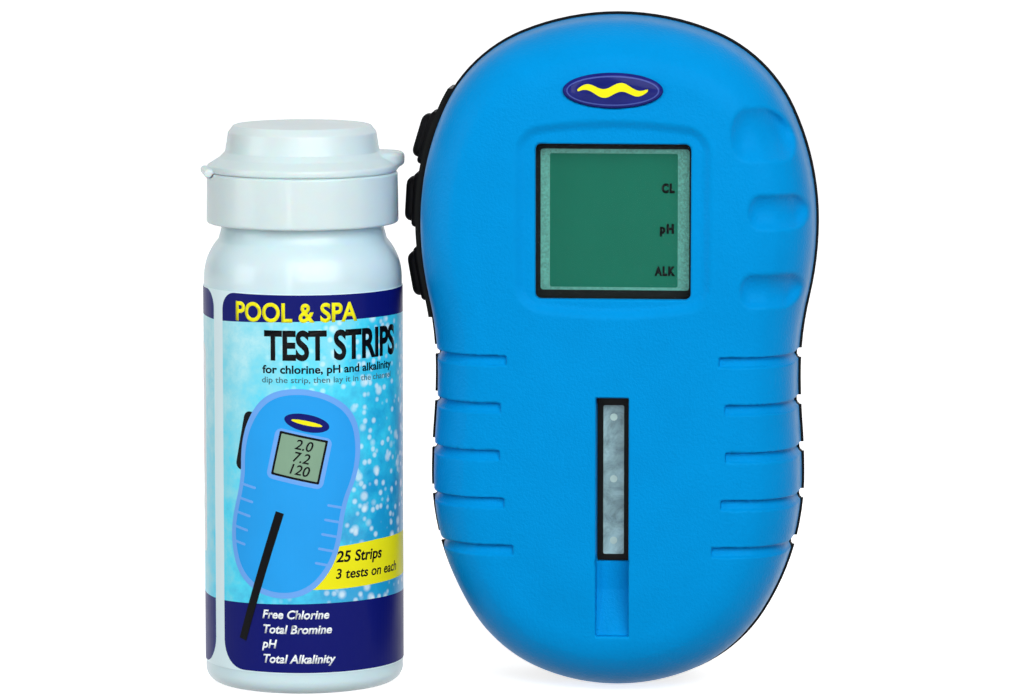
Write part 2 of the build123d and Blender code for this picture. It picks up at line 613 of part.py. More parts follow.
def battery_door():
    """The door's plate with finger grooves, and the two hinge arms with their pins."""
    door = door_plate(0)
    for i in range(5):
        low = GRIP_FIRST_Z + i * GRIP_PITCH
        door -= block(-GRIP_HALF, GRIP_HALF, REAR_DEPTH - 0.4, REAR_DEPTH + 1, low, low + GRIP_WIDTH)
    for side in (-1, 1):
        x0, x1 = sorted((side * ARM_INNER, side * ARM_OUTER))
        barrel = Pos((x0 + x1) / 2, PIN_Y, PIN_Z) * Rot(0, 90, 0) * Cylinder(BARREL_RADIUS, x1 - x0)
        arm = block(x0, x1, PIN_Y - BARREL_RADIUS * 0.3, PIN_Y + BARREL_RADIUS, DOOR_HIGH - 0.5, PIN_Z)
        door += barrel + arm
    return door + door_pins(0)


# ================================================================ vial
def spin(points, closing=True):
    """A profile of (radius, height) points turned about Z."""
    face = make_face(Polyline(*points, close=closing))
    return revolve(Plane.XZ * face, Axis.Z)


def vial_bottle():
    """The blow-moulded bottle: foot ring, straight side, round shoulder and open neck."""
    r, wall, neck = VIAL_RADIUS, VIAL_WALL, NECK_RADIUS
    shoulder = ThreePointArc((r, SHOULDER_Z), (r - 0.95, SHOULDER_Z + 5.2), (neck + 0.3, NECK_FOOT_Z))
    side = Polyline((0, 0.9), (10.5, 0.9), (11.0, 0), (15.4, 0))
    foot = ThreePointArc((15.4, 0), (r - 0.75, 0.75), (r, 2.5))
    neck_line = Polyline((neck + 0.3, NECK_FOOT_Z), (neck + 0.3, NECK_FOOT_Z + 1.9),
                         (neck, NECK_FOOT_Z + 2.1), (neck, NECK_TOP_Z),
                         (MOUTH_RADIUS, NECK_TOP_Z), (MOUTH_RADIUS, NECK_FOOT_Z))
    inside_shoulder = ThreePointArc((MOUTH_RADIUS, NECK_FOOT_Z),
                                    (r - wall - 0.9, SHOULDER_Z + 4.6), (r - wall, SHOULDER_Z))
    inside = Polyline((r - wall, SHOULDER_Z), (r - wall, VIAL_FLOOR + FLOOR_RISE),
                      (r - wall - FLOOR_RISE, VIAL_FLOOR), (10.5, VIAL_FLOOR), (0, VIAL_FLOOR + 0.8),
                      (0, 0.9))
    profile = Wire([*side.edges(), foot, Line((r, 2.5), (r, SHOULDER_Z)), shoulder,
                    *neck_line.edges(), inside_shoulder, *inside.edges()])
    return revolve(Plane.XZ * make_face(profile), Axis.Z)


def vial_label():
    outer = VIAL_RADIUS + LABEL_THICK
    return spin([(VIAL_RADIUS, LABEL_LOW), (outer, LABEL_LOW), (outer, LABEL_HIGH),
                 (VIAL_RADIUS, LABEL_HIGH)])


def desiccant_disc():
    disc = Cylinder(DESICCANT_RADIUS, DESICCANT_THICK)
    return fillet((Pos(0, 0, VIAL_FLOOR + FLOOR_RISE + DESICCANT_THICK / 2) * disc).edges(), 0.4)


def closure_ring():
    """The collar snapped round the neck; it carries the lid's hinge."""
    bore, r = NECK_RADIUS + 0.45, RING_RADIUS
    ring = spin([(bore, RING_FOOT_Z), (r - 0.4, RING_FOOT_Z), (r + 0.1, RING_FOOT_Z + 0.5),
                 (r, RING_TOP_Z), (NECK_RADIUS + 0.05, RING_TOP_Z),
                 (NECK_RADIUS + 0.05, RING_TOP_Z - 6), (bore, RING_TOP_Z - 7)])
    return ring - hinge_rod(KNUCKLE_RADIUS + 0.15, KNUCKLE_HALF + 0.3)


def hinge_rod(radius, half):
    """A rod along the lid's hinge axis."""
    place = Rot(0, 0, LID_TURN) * Pos(-HINGE_RADIUS, 0, LID_FOOT_Z) * Rot(90, 0, 0)
    return place * Cylinder(radius, 2 * half)


def flip_lid():
    """Flange, cone and drum in one moulding, hollow below, with plug, thumb tab and knuckle."""
    r, foot, top = LID_RADIUS, LID_FOOT_Z, LID_TOP_Z
    body = spin([(0, foot), (r - 0.4, foot), (r, foot + 0.4), (r, foot + 0.7),
                 (DRUM_RADIUS + 0.2, foot + 2.9), (DRUM_RADIUS - 0.3, top - 0.5), (0, top)])
    rim = [e for e in body.edges() if abs(e.center().Z - (top - 0.5)) < 0.01]
    body = fillet(rim, 1.3)
    inner = PLUG_INNER
    body -= spin([(0, foot - 1), (inner, foot - 1), (inner, top - 2.6), (0, top - 2.1)])
    body += spin([(inner, PLUG_FOOT_Z), (inner + 0.8, PLUG_FOOT_Z), (inner + 1.4, foot),
                  (inner + 1.4, foot + 0.5), (inner, foot + 0.5)])
    tab = Pos(TAB_MIDDLE, 0, foot + TAB_RISE) * Box(TAB_LONG, TAB_WIDE, TAB_THICK)
    tab = fillet(tab.edges().filter_by(Axis.Z).sort_by(Axis.X)[-2:], 3.0)
    tab = fillet(tab.faces().sort_by(Axis.Z)[-1].edges() + tab.faces().sort_by(Axis.Z)[0].edges(), 0.8)
    tab -= Cylinder(DRUM_RADIUS - 0.6, 4 * top)
    body += Rot(0, 0, LID_TURN) * tab
    return body + hinge_rod(KNUCKLE_RADIUS, KNUCKLE_HALF)


# ================================================================ test strips
def strip_places():
    """(x, y) of each strip's middle: stacks side by side behind the vial's axis."""
    places = []
    for i in range(STRIP_COUNT):
        stack, layer = divmod(i, STRIPS_PER_STACK)
        places.append(((stack - 1) * STACK_PITCH_X, STACK_FIRST_Y + layer * STACK_PITCH_Y))
    return places


def strip_backings():
    half, made = STRIP_WIDTH / 2, []
    for x, y in strip_places():
        made += block(x - half, x + half, y, y + STRIP_THICK, STRIP_FOOT,
                      STRIP_FOOT + STRIP_LENGTH).solids()
    return Compound(children=made)


def strip_pads(index):
    """The reagent pads of one kind, one on each strip, counted up from the foot."""
    half, made = PAD_SIZE / 2, []
    low = STRIP_FOOT + PAD_FOOT + index * PAD_PITCH
    for x, y in strip_places():
        made += block(x - half, x + half, y - PAD_THICK, y, low, low + PAD_SIZE).solids()
    return Compound(children=made)


# ================================================================ writing
def main():
    os.makedirs("parts", exist_ok=True)
    reader = {
        "front_shell": front_shell(), "rear_shell": rear_shell(), "shell_seal": shell_seal(),
        "badge": badge(), "display_lens": display_lens(), "display_panel": display_panel(),
        "display_frame": display_frame(), "zebra_connectors": zebra_connectors(),
        "sensor_frame": sensor_frame(), "sensor_window": sensor_window(),
        "light_baffle": light_baffle(), "sensor_leds": sensor_leds(),
        "sensor_photodiodes": sensor_photodiodes(), "main_board": main_board(),
        "board_chips": board_chips(), "board_screws": board_screws(),
        "button_bezel": button_bezel(), "switch_flex": switch_flex(),
        "tact_switches": tact_switches(), "battery_tray": battery_tray(),
        "battery_cells": battery_cells(), "battery_contacts": battery_contacts(),
        "battery_door": battery_door(), "rear_label": rear_label_plate(0),
        "housing_screws": housing_screws(),
    }
    for name, height, angle in KEYS:
        reader[name] = key_cap(height, angle)
    vial = {
        "vial_bottle": vial_bottle(), "vial_label": vial_label(),
        "desiccant_disc": desiccant_disc(), "closure_ring": closure_ring(),
        "flip_lid": flip_lid(), "strip_backings": strip_backings(),
        "chlorine_pads": strip_pads(0), "ph_pads": strip_pads(1), "alkalinity_pads": strip_pads(2),
    }
    for name, shape in reader.items():
        write(name, shape, READER_X, READER_Z)
    for name, shape in vial.items():
        write(name, shape, VIAL_X, 0)


if __name__ == "__main__":
    main()
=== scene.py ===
"""Looks of the water test kit: a blue hand-held strip reader beside a white flip-top vial.

Moulded pieces are made from a distance field: a function that is negative inside the piece and
positive outside. A net of faces is laid over its zero surface, then pulled exactly onto it.
Lengths in the fields and the printed sheets are millimetres about the reader's or the vial's own
centre line, and each mesh is scaled and moved to its place in the frame at the end.
"""

import math

import bmesh
import bpy
import numpy as np
from mathutils import Matrix, Vector


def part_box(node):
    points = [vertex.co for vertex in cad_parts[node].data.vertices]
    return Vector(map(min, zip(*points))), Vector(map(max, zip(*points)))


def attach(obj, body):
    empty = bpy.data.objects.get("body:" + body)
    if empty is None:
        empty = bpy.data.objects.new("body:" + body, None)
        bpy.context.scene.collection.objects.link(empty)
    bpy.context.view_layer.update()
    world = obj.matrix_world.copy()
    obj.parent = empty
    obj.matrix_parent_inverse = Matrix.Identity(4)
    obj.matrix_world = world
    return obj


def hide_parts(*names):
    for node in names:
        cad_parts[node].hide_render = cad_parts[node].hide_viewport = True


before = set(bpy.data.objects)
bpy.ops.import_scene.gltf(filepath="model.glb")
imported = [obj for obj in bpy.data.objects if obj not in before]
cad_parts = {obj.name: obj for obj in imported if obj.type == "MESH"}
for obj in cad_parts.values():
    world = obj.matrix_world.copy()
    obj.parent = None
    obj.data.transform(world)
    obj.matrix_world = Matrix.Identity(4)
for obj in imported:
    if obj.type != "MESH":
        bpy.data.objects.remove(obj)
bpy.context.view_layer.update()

MM = 0.001


def middle(node):
    low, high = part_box(node)
    return (low + high) / 2


READER = Vector((middle("front_shell").x, 0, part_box("front_shell")[0].z))
VIAL = Vector((middle("vial_label").x, middle("vial_label").y, 0))


def in_reader(node, origin=READER):
    """A node's low and high corners in millimetres about the reader's centre line."""
    low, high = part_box(node)
    return (low - origin) / MM, (high - origin) / MM


def in_vial(node):
    return in_reader(node, VIAL)


def add_object(name, data):
    """A new object of the scene."""
    obj = bpy.data.objects.new(name, data)
    bpy.context.scene.collection.objects.link(obj)
    return obj


def new_mesh(name, points, faces):
    mesh = bpy.data.meshes.new(name)
    mesh.from_pydata(points, [], faces)
    return mesh


def on_reader(depth):
    """Maps a flat print's points to the upright plane y = depth, in the reader's millimetres."""
    return lambda u, v: Vector((u, depth, v)) * MM + READER


# ======== materials
class Tree:
    """The node tree of a material or world, built up node by node."""

    def __init__(self, owner):
        owner.use_nodes = True
        self.owner, self.nodes, self.links = owner, owner.node_tree.nodes, owner.node_tree.links

    def put(self, socket, value):
        """Sets an input to a value, or links another node's output to it."""
        if isinstance(value, bpy.types.NodeSocket):
            self.links.new(value, socket)
        else:
            socket.default_value = value

    def feed(self, node, **inputs):
        for key, value in inputs.items():
            self.put(node.inputs[key.replace("_", " ")], value)

    def add(self, kind, output=None, **inputs):
        """A new node, or its named output."""
        node = self.nodes.new("ShaderNode" + kind)
        self.feed(node, **inputs)
        return node.outputs[output] if output else node

    def look(self, **inputs):
        self.feed(self.nodes["Principled BSDF"], **inputs)


def shader(name, colour, roughness, **inputs):
    """A material's tree, with settings of its principled shader."""
    tree = Tree(bpy.data.materials.new(name))
    tree.look(Base_Color=(*colour, 1), Roughness=roughness, **inputs)
    return tree


def noise(tree, scale, detail=2.0, roughness=0.5, distortion=0.0):
    """A noise value in object space; scale is in features per metre."""
    return tree.add("TexNoise", "Fac", Vector=tree.add("TexCoord", "Object"), Scale=scale,
                    Detail=detail, Roughness=roughness, Distortion=distortion)


def ranged(tree, source, low, high):
    """Maps a value from 0..1 to low..high."""
    return tree.add("MapRange", "Result", Value=source, To_Min=low, To_Max=high)


def counted(tree, operation, *values):
    """A math node's result."""
    step = tree.add("Math")
    step.operation = operation
    for socket, value in zip(step.inputs, values):
        tree.put(socket, value)
    return step.outputs["Value"]


def ramped(tree, factor, stops, interpolation="LINEAR"):
    """The factor's colour, from stops of a position and a colour."""
    node = tree.add("ValToRGB", Fac=factor)
    ramp = node.color_ramp
    ramp.interpolation = interpolation
    for element, (position, colour) in zip(ramp.elements, (stops[0], stops[-1])):
        element.position, element.color = position, (*colour, 1)
    for position, colour in stops[1:-1]:
        ramp.elements.new(position).color = (*colour, 1)
    return node.outputs["Color"]


def tinted(tree, factor, dark, light):
    """A colour that goes from dark to light with the factor."""
    return ramped(tree, factor, [(0.3, dark), (0.7, light)])


def bumped(tree, source, height, strength):
    """Gives the shader a bump; height is in millimetres."""
    tree.look(Normal=tree.add("Bump", "Normal", Strength=strength, Distance=height * MM,
                              Height=source))


GLOSS_PATCHES, GLOSS_CHANGE = 420, 0.05  # patches per metre, and how far their gloss differs


def moulded(name, colour, roughness, grain=0.35, height=0.02, mottle=0.06, fineness=90, **inputs):
    """Moulded plastic or rubber: a fine spark-eroded grain, faint mottling, uneven gloss.

    grain is the grain's size and height its height, both in millimetres. fineness is the number
    of colour mottles per metre.
    """
    tree = shader(name, colour, roughness, **inputs)
    dark = [c * (1 - mottle) for c in colour]
    light = [min(c * (1 + mottle), 1) for c in colour]
    tree.look(Base_Color=tinted(tree, noise(tree, fineness, 3), dark, light),
              Roughness=ranged(tree, noise(tree, GLOSS_PATCHES, 2),
                               roughness - GLOSS_CHANGE, roughness + GLOSS_CHANGE))
    bumped(tree, noise(tree, 1 / (grain * MM), 2, 0.6), height, 0.6)
    return tree.owner


def metal(name, colour, roughness):
    """Plated metal with fine drawn lines."""
    tree = shader(name, colour, roughness, Metallic=1.0)
    lines = noise(tree, 2600, 3, 0.7)
    tree.look(Roughness=ranged(tree, lines, roughness - 0.08, roughness + 0.12))
    bumped(tree, lines, 0.01, 0.2)
    return tree.owner


def clear(name, colour, alpha, roughness, **inputs):
    """Clear plastic with faint haze, seen through by its alpha."""
    tree = shader(name, colour, roughness, Alpha=alpha, **inputs)
    tree.look(Roughness=ranged(tree, noise(tree, 700, 3), roughness * 0.7, roughness * 1.4))
    return tree.owner


WATER_LEFT, WATER_RIGHT, WATER_TOP, WATER_FOOT = -16, 15, 66, 14
WATER_STOPS = [(0.22, (0.46, 0.80, 0.85)), (0.45, (0.22, 0.69, 0.81)), (0.68, (0.04, 0.66, 0.88)),
               (0.98, (0.01, 0.34, 0.64))]
BUBBLES = [(560, 0.36), (290, 0.30)]  # cells per metre, and a bubble's share of its cell
BUBBLE_COLOUR = (0.86, 0.96, 0.98, 1)


def water_print(name):
    """The label's printed water: pale at the left, deeper to the right, with bubbles."""
    tree = shader(name, (0.2, 0.6, 0.8), 0.32)
    place = tree.add("TexCoord", "Object")
    split = tree.add("SeparateXYZ", Vector=place).outputs
    across = tree.add("MapRange", "Result", From_Min=VIAL.x + WATER_LEFT * MM,
                      From_Max=VIAL.x + WATER_RIGHT * MM, Value=split["X"])
    down = tree.add("MapRange", "Result", From_Min=WATER_TOP * MM, From_Max=WATER_FOOT * MM,
                    Value=split["Z"])
    ripple = noise(tree, 210, 6, 0.65)
    even = counted(tree, "MULTIPLY_ADD", across, 0.42, ranged(tree, down, -0.15, 0.24))
    colour = ramped(tree, counted(tree, "MULTIPLY_ADD", ripple, 0.85, even), WATER_STOPS)
    for scale, size in BUBBLES:
        cells = tree.add("TexVoronoi", "Distance", Scale=scale, Vector=place)
        bubble = tree.add("MapRange", "Result", From_Min=size, From_Max=size * 0.45, To_Max=0.58,
                          Value=cells)
        here = counted(tree, "MULTIPLY", bubble, ranged(tree, across, -0.35, 1.1))
        blend = tree.add("Mix")
        blend.data_type = "RGBA"
        blend.clamp_factor = True
        tree.feed(blend, Factor=here, A=colour, B=BUBBLE_COLOUR)
        colour = blend.outputs["Result"]
    tree.look(Base_Color=colour)
    return tree.owner


BLUE = moulded("reader_blue", (0.0, 0.255, 0.625), 0.40, grain=0.5, height=0.16, mottle=0.03,
               Specular_IOR_Level=0.14, Specular_Tint=(0.10, 0.45, 1.0, 1.0))
BLACK = moulded("reader_black", (0.006, 0.006, 0.007), 0.5, grain=0.4, height=0.035,
                Specular_IOR_Level=0.2)
TRIM = moulded("black_trim", (0.003, 0.004, 0.004), 0.38, grain=0.25, height=0.012,
               Specular_IOR_Level=0.08)
RUBBER = moulded("black_rubber", (0.003, 0.003, 0.004), 0.62, grain=0.2, height=0.02,
                 Specular_IOR_Level=0.1)
WHITE = moulded("vial_white", (0.60, 0.745, 0.78), 0.34, grain=1.4, height=0.02, mottle=0.015,
                Subsurface_Weight=0.3, Subsurface_Scale=0.005, Coat_Weight=0.3, Coat_Roughness=0.1)
CAP = moulded("cap_white", (0.60, 0.71, 0.715), 0.40, grain=0.7, height=0.015, mottle=0.02,
              Subsurface_Weight=0.4, Subsurface_Scale=0.005, Coat_Weight=0.25, Coat_Roughness=0.12)
STEEL = metal("zinc_steel", (0.62, 0.62, 0.63), 0.3)
NICKEL = metal("nickel", (0.78, 0.77, 0.74), 0.22)
PALE = moulded("pale_plastic", (0.62, 0.64, 0.62), 0.5, grain=0.3)
LENS = clear("display_lens", (0.10, 0.18, 0.15), 0.02, 0.1, Specular_IOR_Level=0.2)
WATER = water_print("label_water")


def printed(name, colour, roughness=0.34):
    """Ink on the label or the display: nearly even, with the print's fine dots."""
    return moulded(name, colour, roughness, grain=0.12, height=0.002, mottle=0.03,
                   Specular_IOR_Level=0.05, Coat_Weight=0.04, Coat_Roughness=0.12)


NAVY = printed("ink_navy", (0.004, 0.007, 0.14))
YELLOW = printed("ink_yellow", (0.86, 0.80, 0.01))
INK = printed("ink_black", (0.002, 0.002, 0.003))
PAPER = printed("ink_white", (0.88, 0.92, 0.93))
PICTURE_BLUE = printed("ink_blue", (0.02, 0.34, 0.82))
PICTURE_LIGHT = printed("ink_lilac", (0.15, 0.38, 0.84))
LCD_GREEN = printed("display_green", (0.006, 0.145, 0.09), 0.5)
LCD_BORDER = moulded("display_border", (0.068, 0.31, 0.25), 0.5, grain=0.35, height=0.05,
                     mottle=0.3, fineness=3000)


def dress(obj, material):
    obj.data.materials.clear()
    obj.data.materials.append(material)


def show(obj, body, material):
    """Gives a piece its material and lets it ride on a body."""
    dress(obj, material)
    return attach(obj, body)


def paint(node, material):
    """A better material on a CAD node whose shape stays."""
    dress(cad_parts[node], material)


# ======== distance fields
def smooth_max(a, b, blend):
    """The larger of two values, with the crease between them rounded over blend."""
    overlap = np.maximum(blend - np.abs(a - b), 0) / blend
    return np.maximum(a, b) + overlap * overlap * blend / 4


def smooth_min(a, b, blend):
    return -smooth_max(-a, -b, blend)


def cut(solid, tool, blend=0.3):
    """The solid with the tool taken away."""
    return smooth_max(solid, -tool, blend)


def ease(value, low, high):
    """0 below low, 1 above high, smooth between."""
    t = np.clip((value - low) / (high - low), 0, 1)
    return t * t * (3 - 2 * t)


def round_box(offsets, corner):
    """Distance to a box, from the offsets beyond its faces (one per axis, with absolute values)."""
    grown = [o + corner for o in offsets]
    outside = sum(np.maximum(g, 0) ** 2 for g in grown) ** 0.5
    inside = grown[0]
    for g in grown[1:]:
        inside = np.maximum(inside, g)
    return outside + np.minimum(inside, 0) - corner


def span(value, low, high):
    """How far a value lies beyond a span."""
    return np.abs(value - (low + high) / 2) - (high - low) / 2


def polygon(x, z, points, corner=0.0):
    """Distance to a closed outline of straight runs, its corners rounded."""
    best = None
    sign = 1.0
    for (ax, az), (bx, bz) in zip(points, points[1:] + points[:1]):
        ex, ez = bx - ax, bz - az
        wx, wz = x - ax, z - az
        t = np.clip((wx * ex + wz * ez) / (ex * ex + ez * ez), 0, 1)
        square = (wx - ex * t) ** 2 + (wz - ez * t) ** 2
        best = square if best is None else np.minimum(best, square)
        crossing = (az > z) != (bz > z)
        with np.errstate(divide="ignore", invalid="ignore"):
            left = x < ax + ex * (z - az) / ez if ez else np.zeros_like(crossing)
        sign = np.where(crossing & left, -sign, sign)
    return np.sqrt(best) * sign - corner


# The net joins one point in every grid cell that the surface crosses.
CORNERS = [(i, j, k) for i in (0, 1) for j in (0, 1) for k in (0, 1)]
CELL_EDGES = [(a, b) for a in range(8) for b in range(a + 1, 8)
              if sum(p != q for p, q in zip(CORNERS[a], CORNERS[b])) == 1]
NET_PULLS = 3  # how often the net's points are pulled onto the surface
LONGEST_PULL = 0.35  # of a grid step


def grid_lines(low, high, step):
    return np.linspace(low, high, max(int(round((high - low) / step)), 4) + 1)


def slope(field, points, reach=0.02):
    """The field's gradient at the points."""
    columns = []
    for axis in range(3):
        shift = np.zeros(3)
        shift[axis] = reach
        ahead, behind = points + shift, points - shift
        columns.append((field(*ahead.T) - field(*behind.T)) / (2 * reach))
    return np.stack(columns, 1)


def net(field, low, high, step):
    """Points, faces and normals of the field's zero surface inside the box from low to high."""
    axes = [grid_lines(a, b, step) for a, b in zip(low, high)]
    values = field(axes[0][:, None, None], axes[1][None, :, None], axes[2][None, None, :])
    values = np.broadcast_to(values, [len(a) for a in axes])
    inside = values < 0
    counts = [n - 1 for n in values.shape]
    part = [tuple(slice(c[d], c[d] + counts[d]) for d in range(3)) for c in CORNERS]
    total = sum(inside[p].astype(np.int8) for p in part)
    cells = np.argwhere((total > 0) & (total < 8))
    corner_values = np.stack([values[tuple((cells + c).T)] for c in CORNERS], 1)
    corner_places = [np.stack([axes[d][cells[:, d] + c[d]] for d in range(3)], 1) for c in CORNERS]
    points, hits = np.zeros((len(cells), 3)), np.zeros(len(cells))
    for a, b in CELL_EDGES:
        va, vb = corner_values[:, a], corner_values[:, b]
        crossed = (va < 0) != (vb < 0)
        t = np.where(crossed, va / np.where(crossed, va - vb, 1), 0)[:, None]
        points += np.where(crossed[:, None], corner_places[a] * (1 - t) + corner_places[b] * t, 0)
        hits += crossed
    points /= hits[:, None]
    number = np.full(counts, -1)
    number[tuple(cells.T)] = np.arange(len(cells))
    faces = []
    for axis in range(3):
        first, second = (axis + 1) % 3, (axis + 2) % 3
        before, after = (inside.take(range(k, k + counts[axis]), axis) for k in (0, 1))
        for leaving in (True, False):
            edges = np.argwhere((before & ~after) if leaving else (~before & after))
            keep = (edges[:, first] > 0) & (edges[:, second] > 0)
            keep &= (edges[:, first] < counts[first]) & (edges[:, second] < counts[second])
            edges = edges[keep]
            ring = []
            for back_first, back_second in ((1, 1), (0, 1), (0, 0), (1, 0)):
                cell = edges.copy()
                cell[:, first] -= back_first
                cell[:, second] -= back_second
                ring.append(number[tuple(cell.T)])
            faces.append(np.stack(ring if leaving else ring[::-1], 1))
    for _ in range(NET_PULLS):
        gradient = slope(field, points)
        size = np.maximum((gradient ** 2).sum(1), 0.05)
        move = -(field(*points.T) / size)[:, None] * gradient
        length = np.linalg.norm(move, axis=1, keepdims=True)
        points = points + move * np.minimum(1, LONGEST_PULL * step / np.maximum(length, 1e-9))
    gradient = slope(field, points)
    normals = gradient / np.maximum(np.linalg.norm(gradient, axis=1, keepdims=True), 1e-9)
    return points, np.concatenate(faces), normals


def mould(name, field, low, high, step, place):
    """A mesh of the field's surface, in metres, at its item's place."""
    points, faces, normals = net(field, low, high, step * (1))
    mesh = new_mesh(name, (points * MM + np.array(place)).tolist(), faces.tolist())
    mesh.polygons.foreach_set("use_smooth", [True] * len(faces))
    mesh.normals_split_custom_set_from_vertices(normals.tolist())
    return add_object(name, mesh)


# ======== the reader's outline
# Tangent arcs up the right side from the lowest point: radius and turn in degrees. A negative
# radius turns the other way, at the waist. A last arc closes the outline at the top.
SIDE_ARCS = [(36, 22), (27, 36), (46, 32), (122, 4.5), (-122, 4.5), (-60, 13), (60, 13),
             (48, 25), (26.5, 42.5)]


def direction(angle):
    return math.cos(math.radians(angle)), math.sin(math.radians(angle))


def outline_arcs():
    """Each arc's centre, radius, side, middle direction and the cosine of half its turn."""
    arcs, x, z, heading = [], 0.0, 0.0, 0.0
    for radius, turn in SIDE_ARCS + [(None, None)]:
        if radius is None:
            turn = 180 - heading
            radius = x / math.sin(math.radians(turn))
        side = 1 if radius > 0 else -1
        size = abs(radius)
        left = direction(heading + 90)
        cx, cz = x + side * size * left[0], z + side * size * left[1]
        arcs.append((cx, cz, size, side, direction(heading + side * (turn / 2 - 90)),
                     math.cos(math.radians(turn / 2))))
        heading += side * turn
        end = direction(heading - side * 90)
        x, z = cx + size * end[0], cz + size * end[1]
    return arcs


ARCS = outline_arcs()


def outline(x, z):
    """Distance outside the reader's outline; negative inside."""
    half = np.abs(x)
    best = np.full(np.broadcast(half, z).shape, 1e3)
    for cx, cz, radius, side, (mx, mz), near in ARCS:
        dx, dz = half - cx, z - cz
        length = np.hypot(dx, dz)
        distance = side * (length - radius)
        facing = dx * mx + dz * mz >= length * near - 1e-6
        best = np.where(facing & (np.abs(distance) < np.abs(best)), distance, best)
    return best


# ======== front shell
FACE = -in_reader("front_shell")[0].y  # crown of the face in front of the parting plane
DRAFT = math.tan(math.radians(5))
FACET_TILT = math.radians(27)  # the broad chamfer round the face
FACET_WIDTH = 8.0  # from the outline to the chamfer's inner edge
FACET_ROUND, FACE_ROUND = 5.5, 1.0  # how softly it meets the side and the face
CROWN_RISE = 0.7  # how far the face's middle stands over its edge
CROWN_FOOT, CROWN_TOP = 7.0, 20.0  # where that rise starts and ends, in from the outline
WALL = 2.0
# The sunk, arched frame round the display: half width, and reach up and down at its sides.
SURROUND_HALF, SURROUND_UP, SURROUND_DOWN = 17.7, 16.6, 15.6
SURROUND_BOW, SURROUND_CORNER, SURROUND_SLOPE, SURROUND_DEEP = 1.8, 4.5, 2.2, 0.85
GROOVE_LOWEST, GROOVE_PITCH, GROOVE_HALF = 26.2, 8.5, 0.85
GROOVE_ENDS = [17.7, 19.3, 20.1, 19.9, 18.9]
GROOVE_CORNER, GROOVE_BLEND = 0.25, 0.3
# Finger hollows: x and height of the round end's middle, half the height and how far each is sunk.
DIMPLES = [(23.7, 100.6, 4.7, 1.7), (26.1, 86.9, 3.1, 1.35), (24.6, 72.9, 3.0, 1.3)]

lens_low, lens_high = in_reader("display_lens")
DISPLAY_Z = (lens_low.z + lens_high.z) / 2
DISPLAY_HALF = (lens_high.x - lens_low.x) / 2 - 1.75
CHANNEL_HALF = 2.925
CHANNEL_TOP, CHANNEL_FOOT = 53.7, 10.8
CHANNEL_OPEN = 8  # the channel is open down to this height
RAMP_END, RAMP_BREAK = 23.9, 19.0
RAMP_FLOOR, RAMP_RISE = 12.5, 2.1
BADGE_Z = (in_reader("badge")[0].z + in_reader("badge")[1].z) / 2
BADGE_SEAT = (8.9, 3.2)  # half its width and half its height
SCREWS = [(side * x, z) for x, z in ((19.5, 103.5), (13.0, 11.5)) for side in (-1, 1)]
FRONT_BOSS, PILOT, PILOT_DEPTH = 3.2, 1.2, 9


def surround(x, z):
    """How far a point lies outside the arched frame round the display."""
    rise = z - DISPLAY_Z
    bow = SURROUND_BOW * (1 - (x / SURROUND_HALF) ** 2)
    upright = np.where(rise > 0, rise - (SURROUND_UP + bow), -rise - (SURROUND_DOWN + bow))
    return round_box([np.abs(x) - SURROUND_HALF, upright], SURROUND_CORNER)


def front_body(x, y, z):
    """The front half without its openings: rounded edge, crowned face, sunk display surround."""
    edge = outline(x, z)
    height = -y
    crown = FACE - CROWN_RISE + CROWN_RISE * ease(-edge, CROWN_FOOT, CROWN_TOP)
    sunk = SURROUND_DEEP * ease(-surround(x, z), 0.0, SURROUND_SLOPE)
    facet = ((height - FACE + CROWN_RISE) * math.cos(FACET_TILT)
             + (edge + FACET_WIDTH) * math.sin(FACET_TILT))
    rim = smooth_max(edge + height * DRAFT, facet, FACET_ROUND)
    return smooth_max(rim, height - crown + sunk, FACE_ROUND)


def groove_sides(x, z):
    """Each grip groove: the height over its middle, and how far a point lies beyond its sides."""
    for index, end in enumerate(GROOVE_ENDS):
        rise = z - (GROOVE_LOWEST + GROOVE_PITCH * index)
        yield rise, [np.abs(rise) - GROOVE_HALF, end - np.abs(x)]


def dimple(x, z, body, place):
    """The rod that scoops out a fingertip's hollow: round-ended inside, running out at the edge."""
    cx, cz, half, deep = place
    radius = (half * half + deep * deep) / (2 * deep)
    lift = radius - deep + (deep + 0.5) * (1 - ease(-outline(x, z), -0.5, 3.8))
    inward = np.maximum(cx - x, 0) * radius / half
    return np.sqrt(inward ** 2 + (z - cz) ** 2 + (body - lift) ** 2) - radius


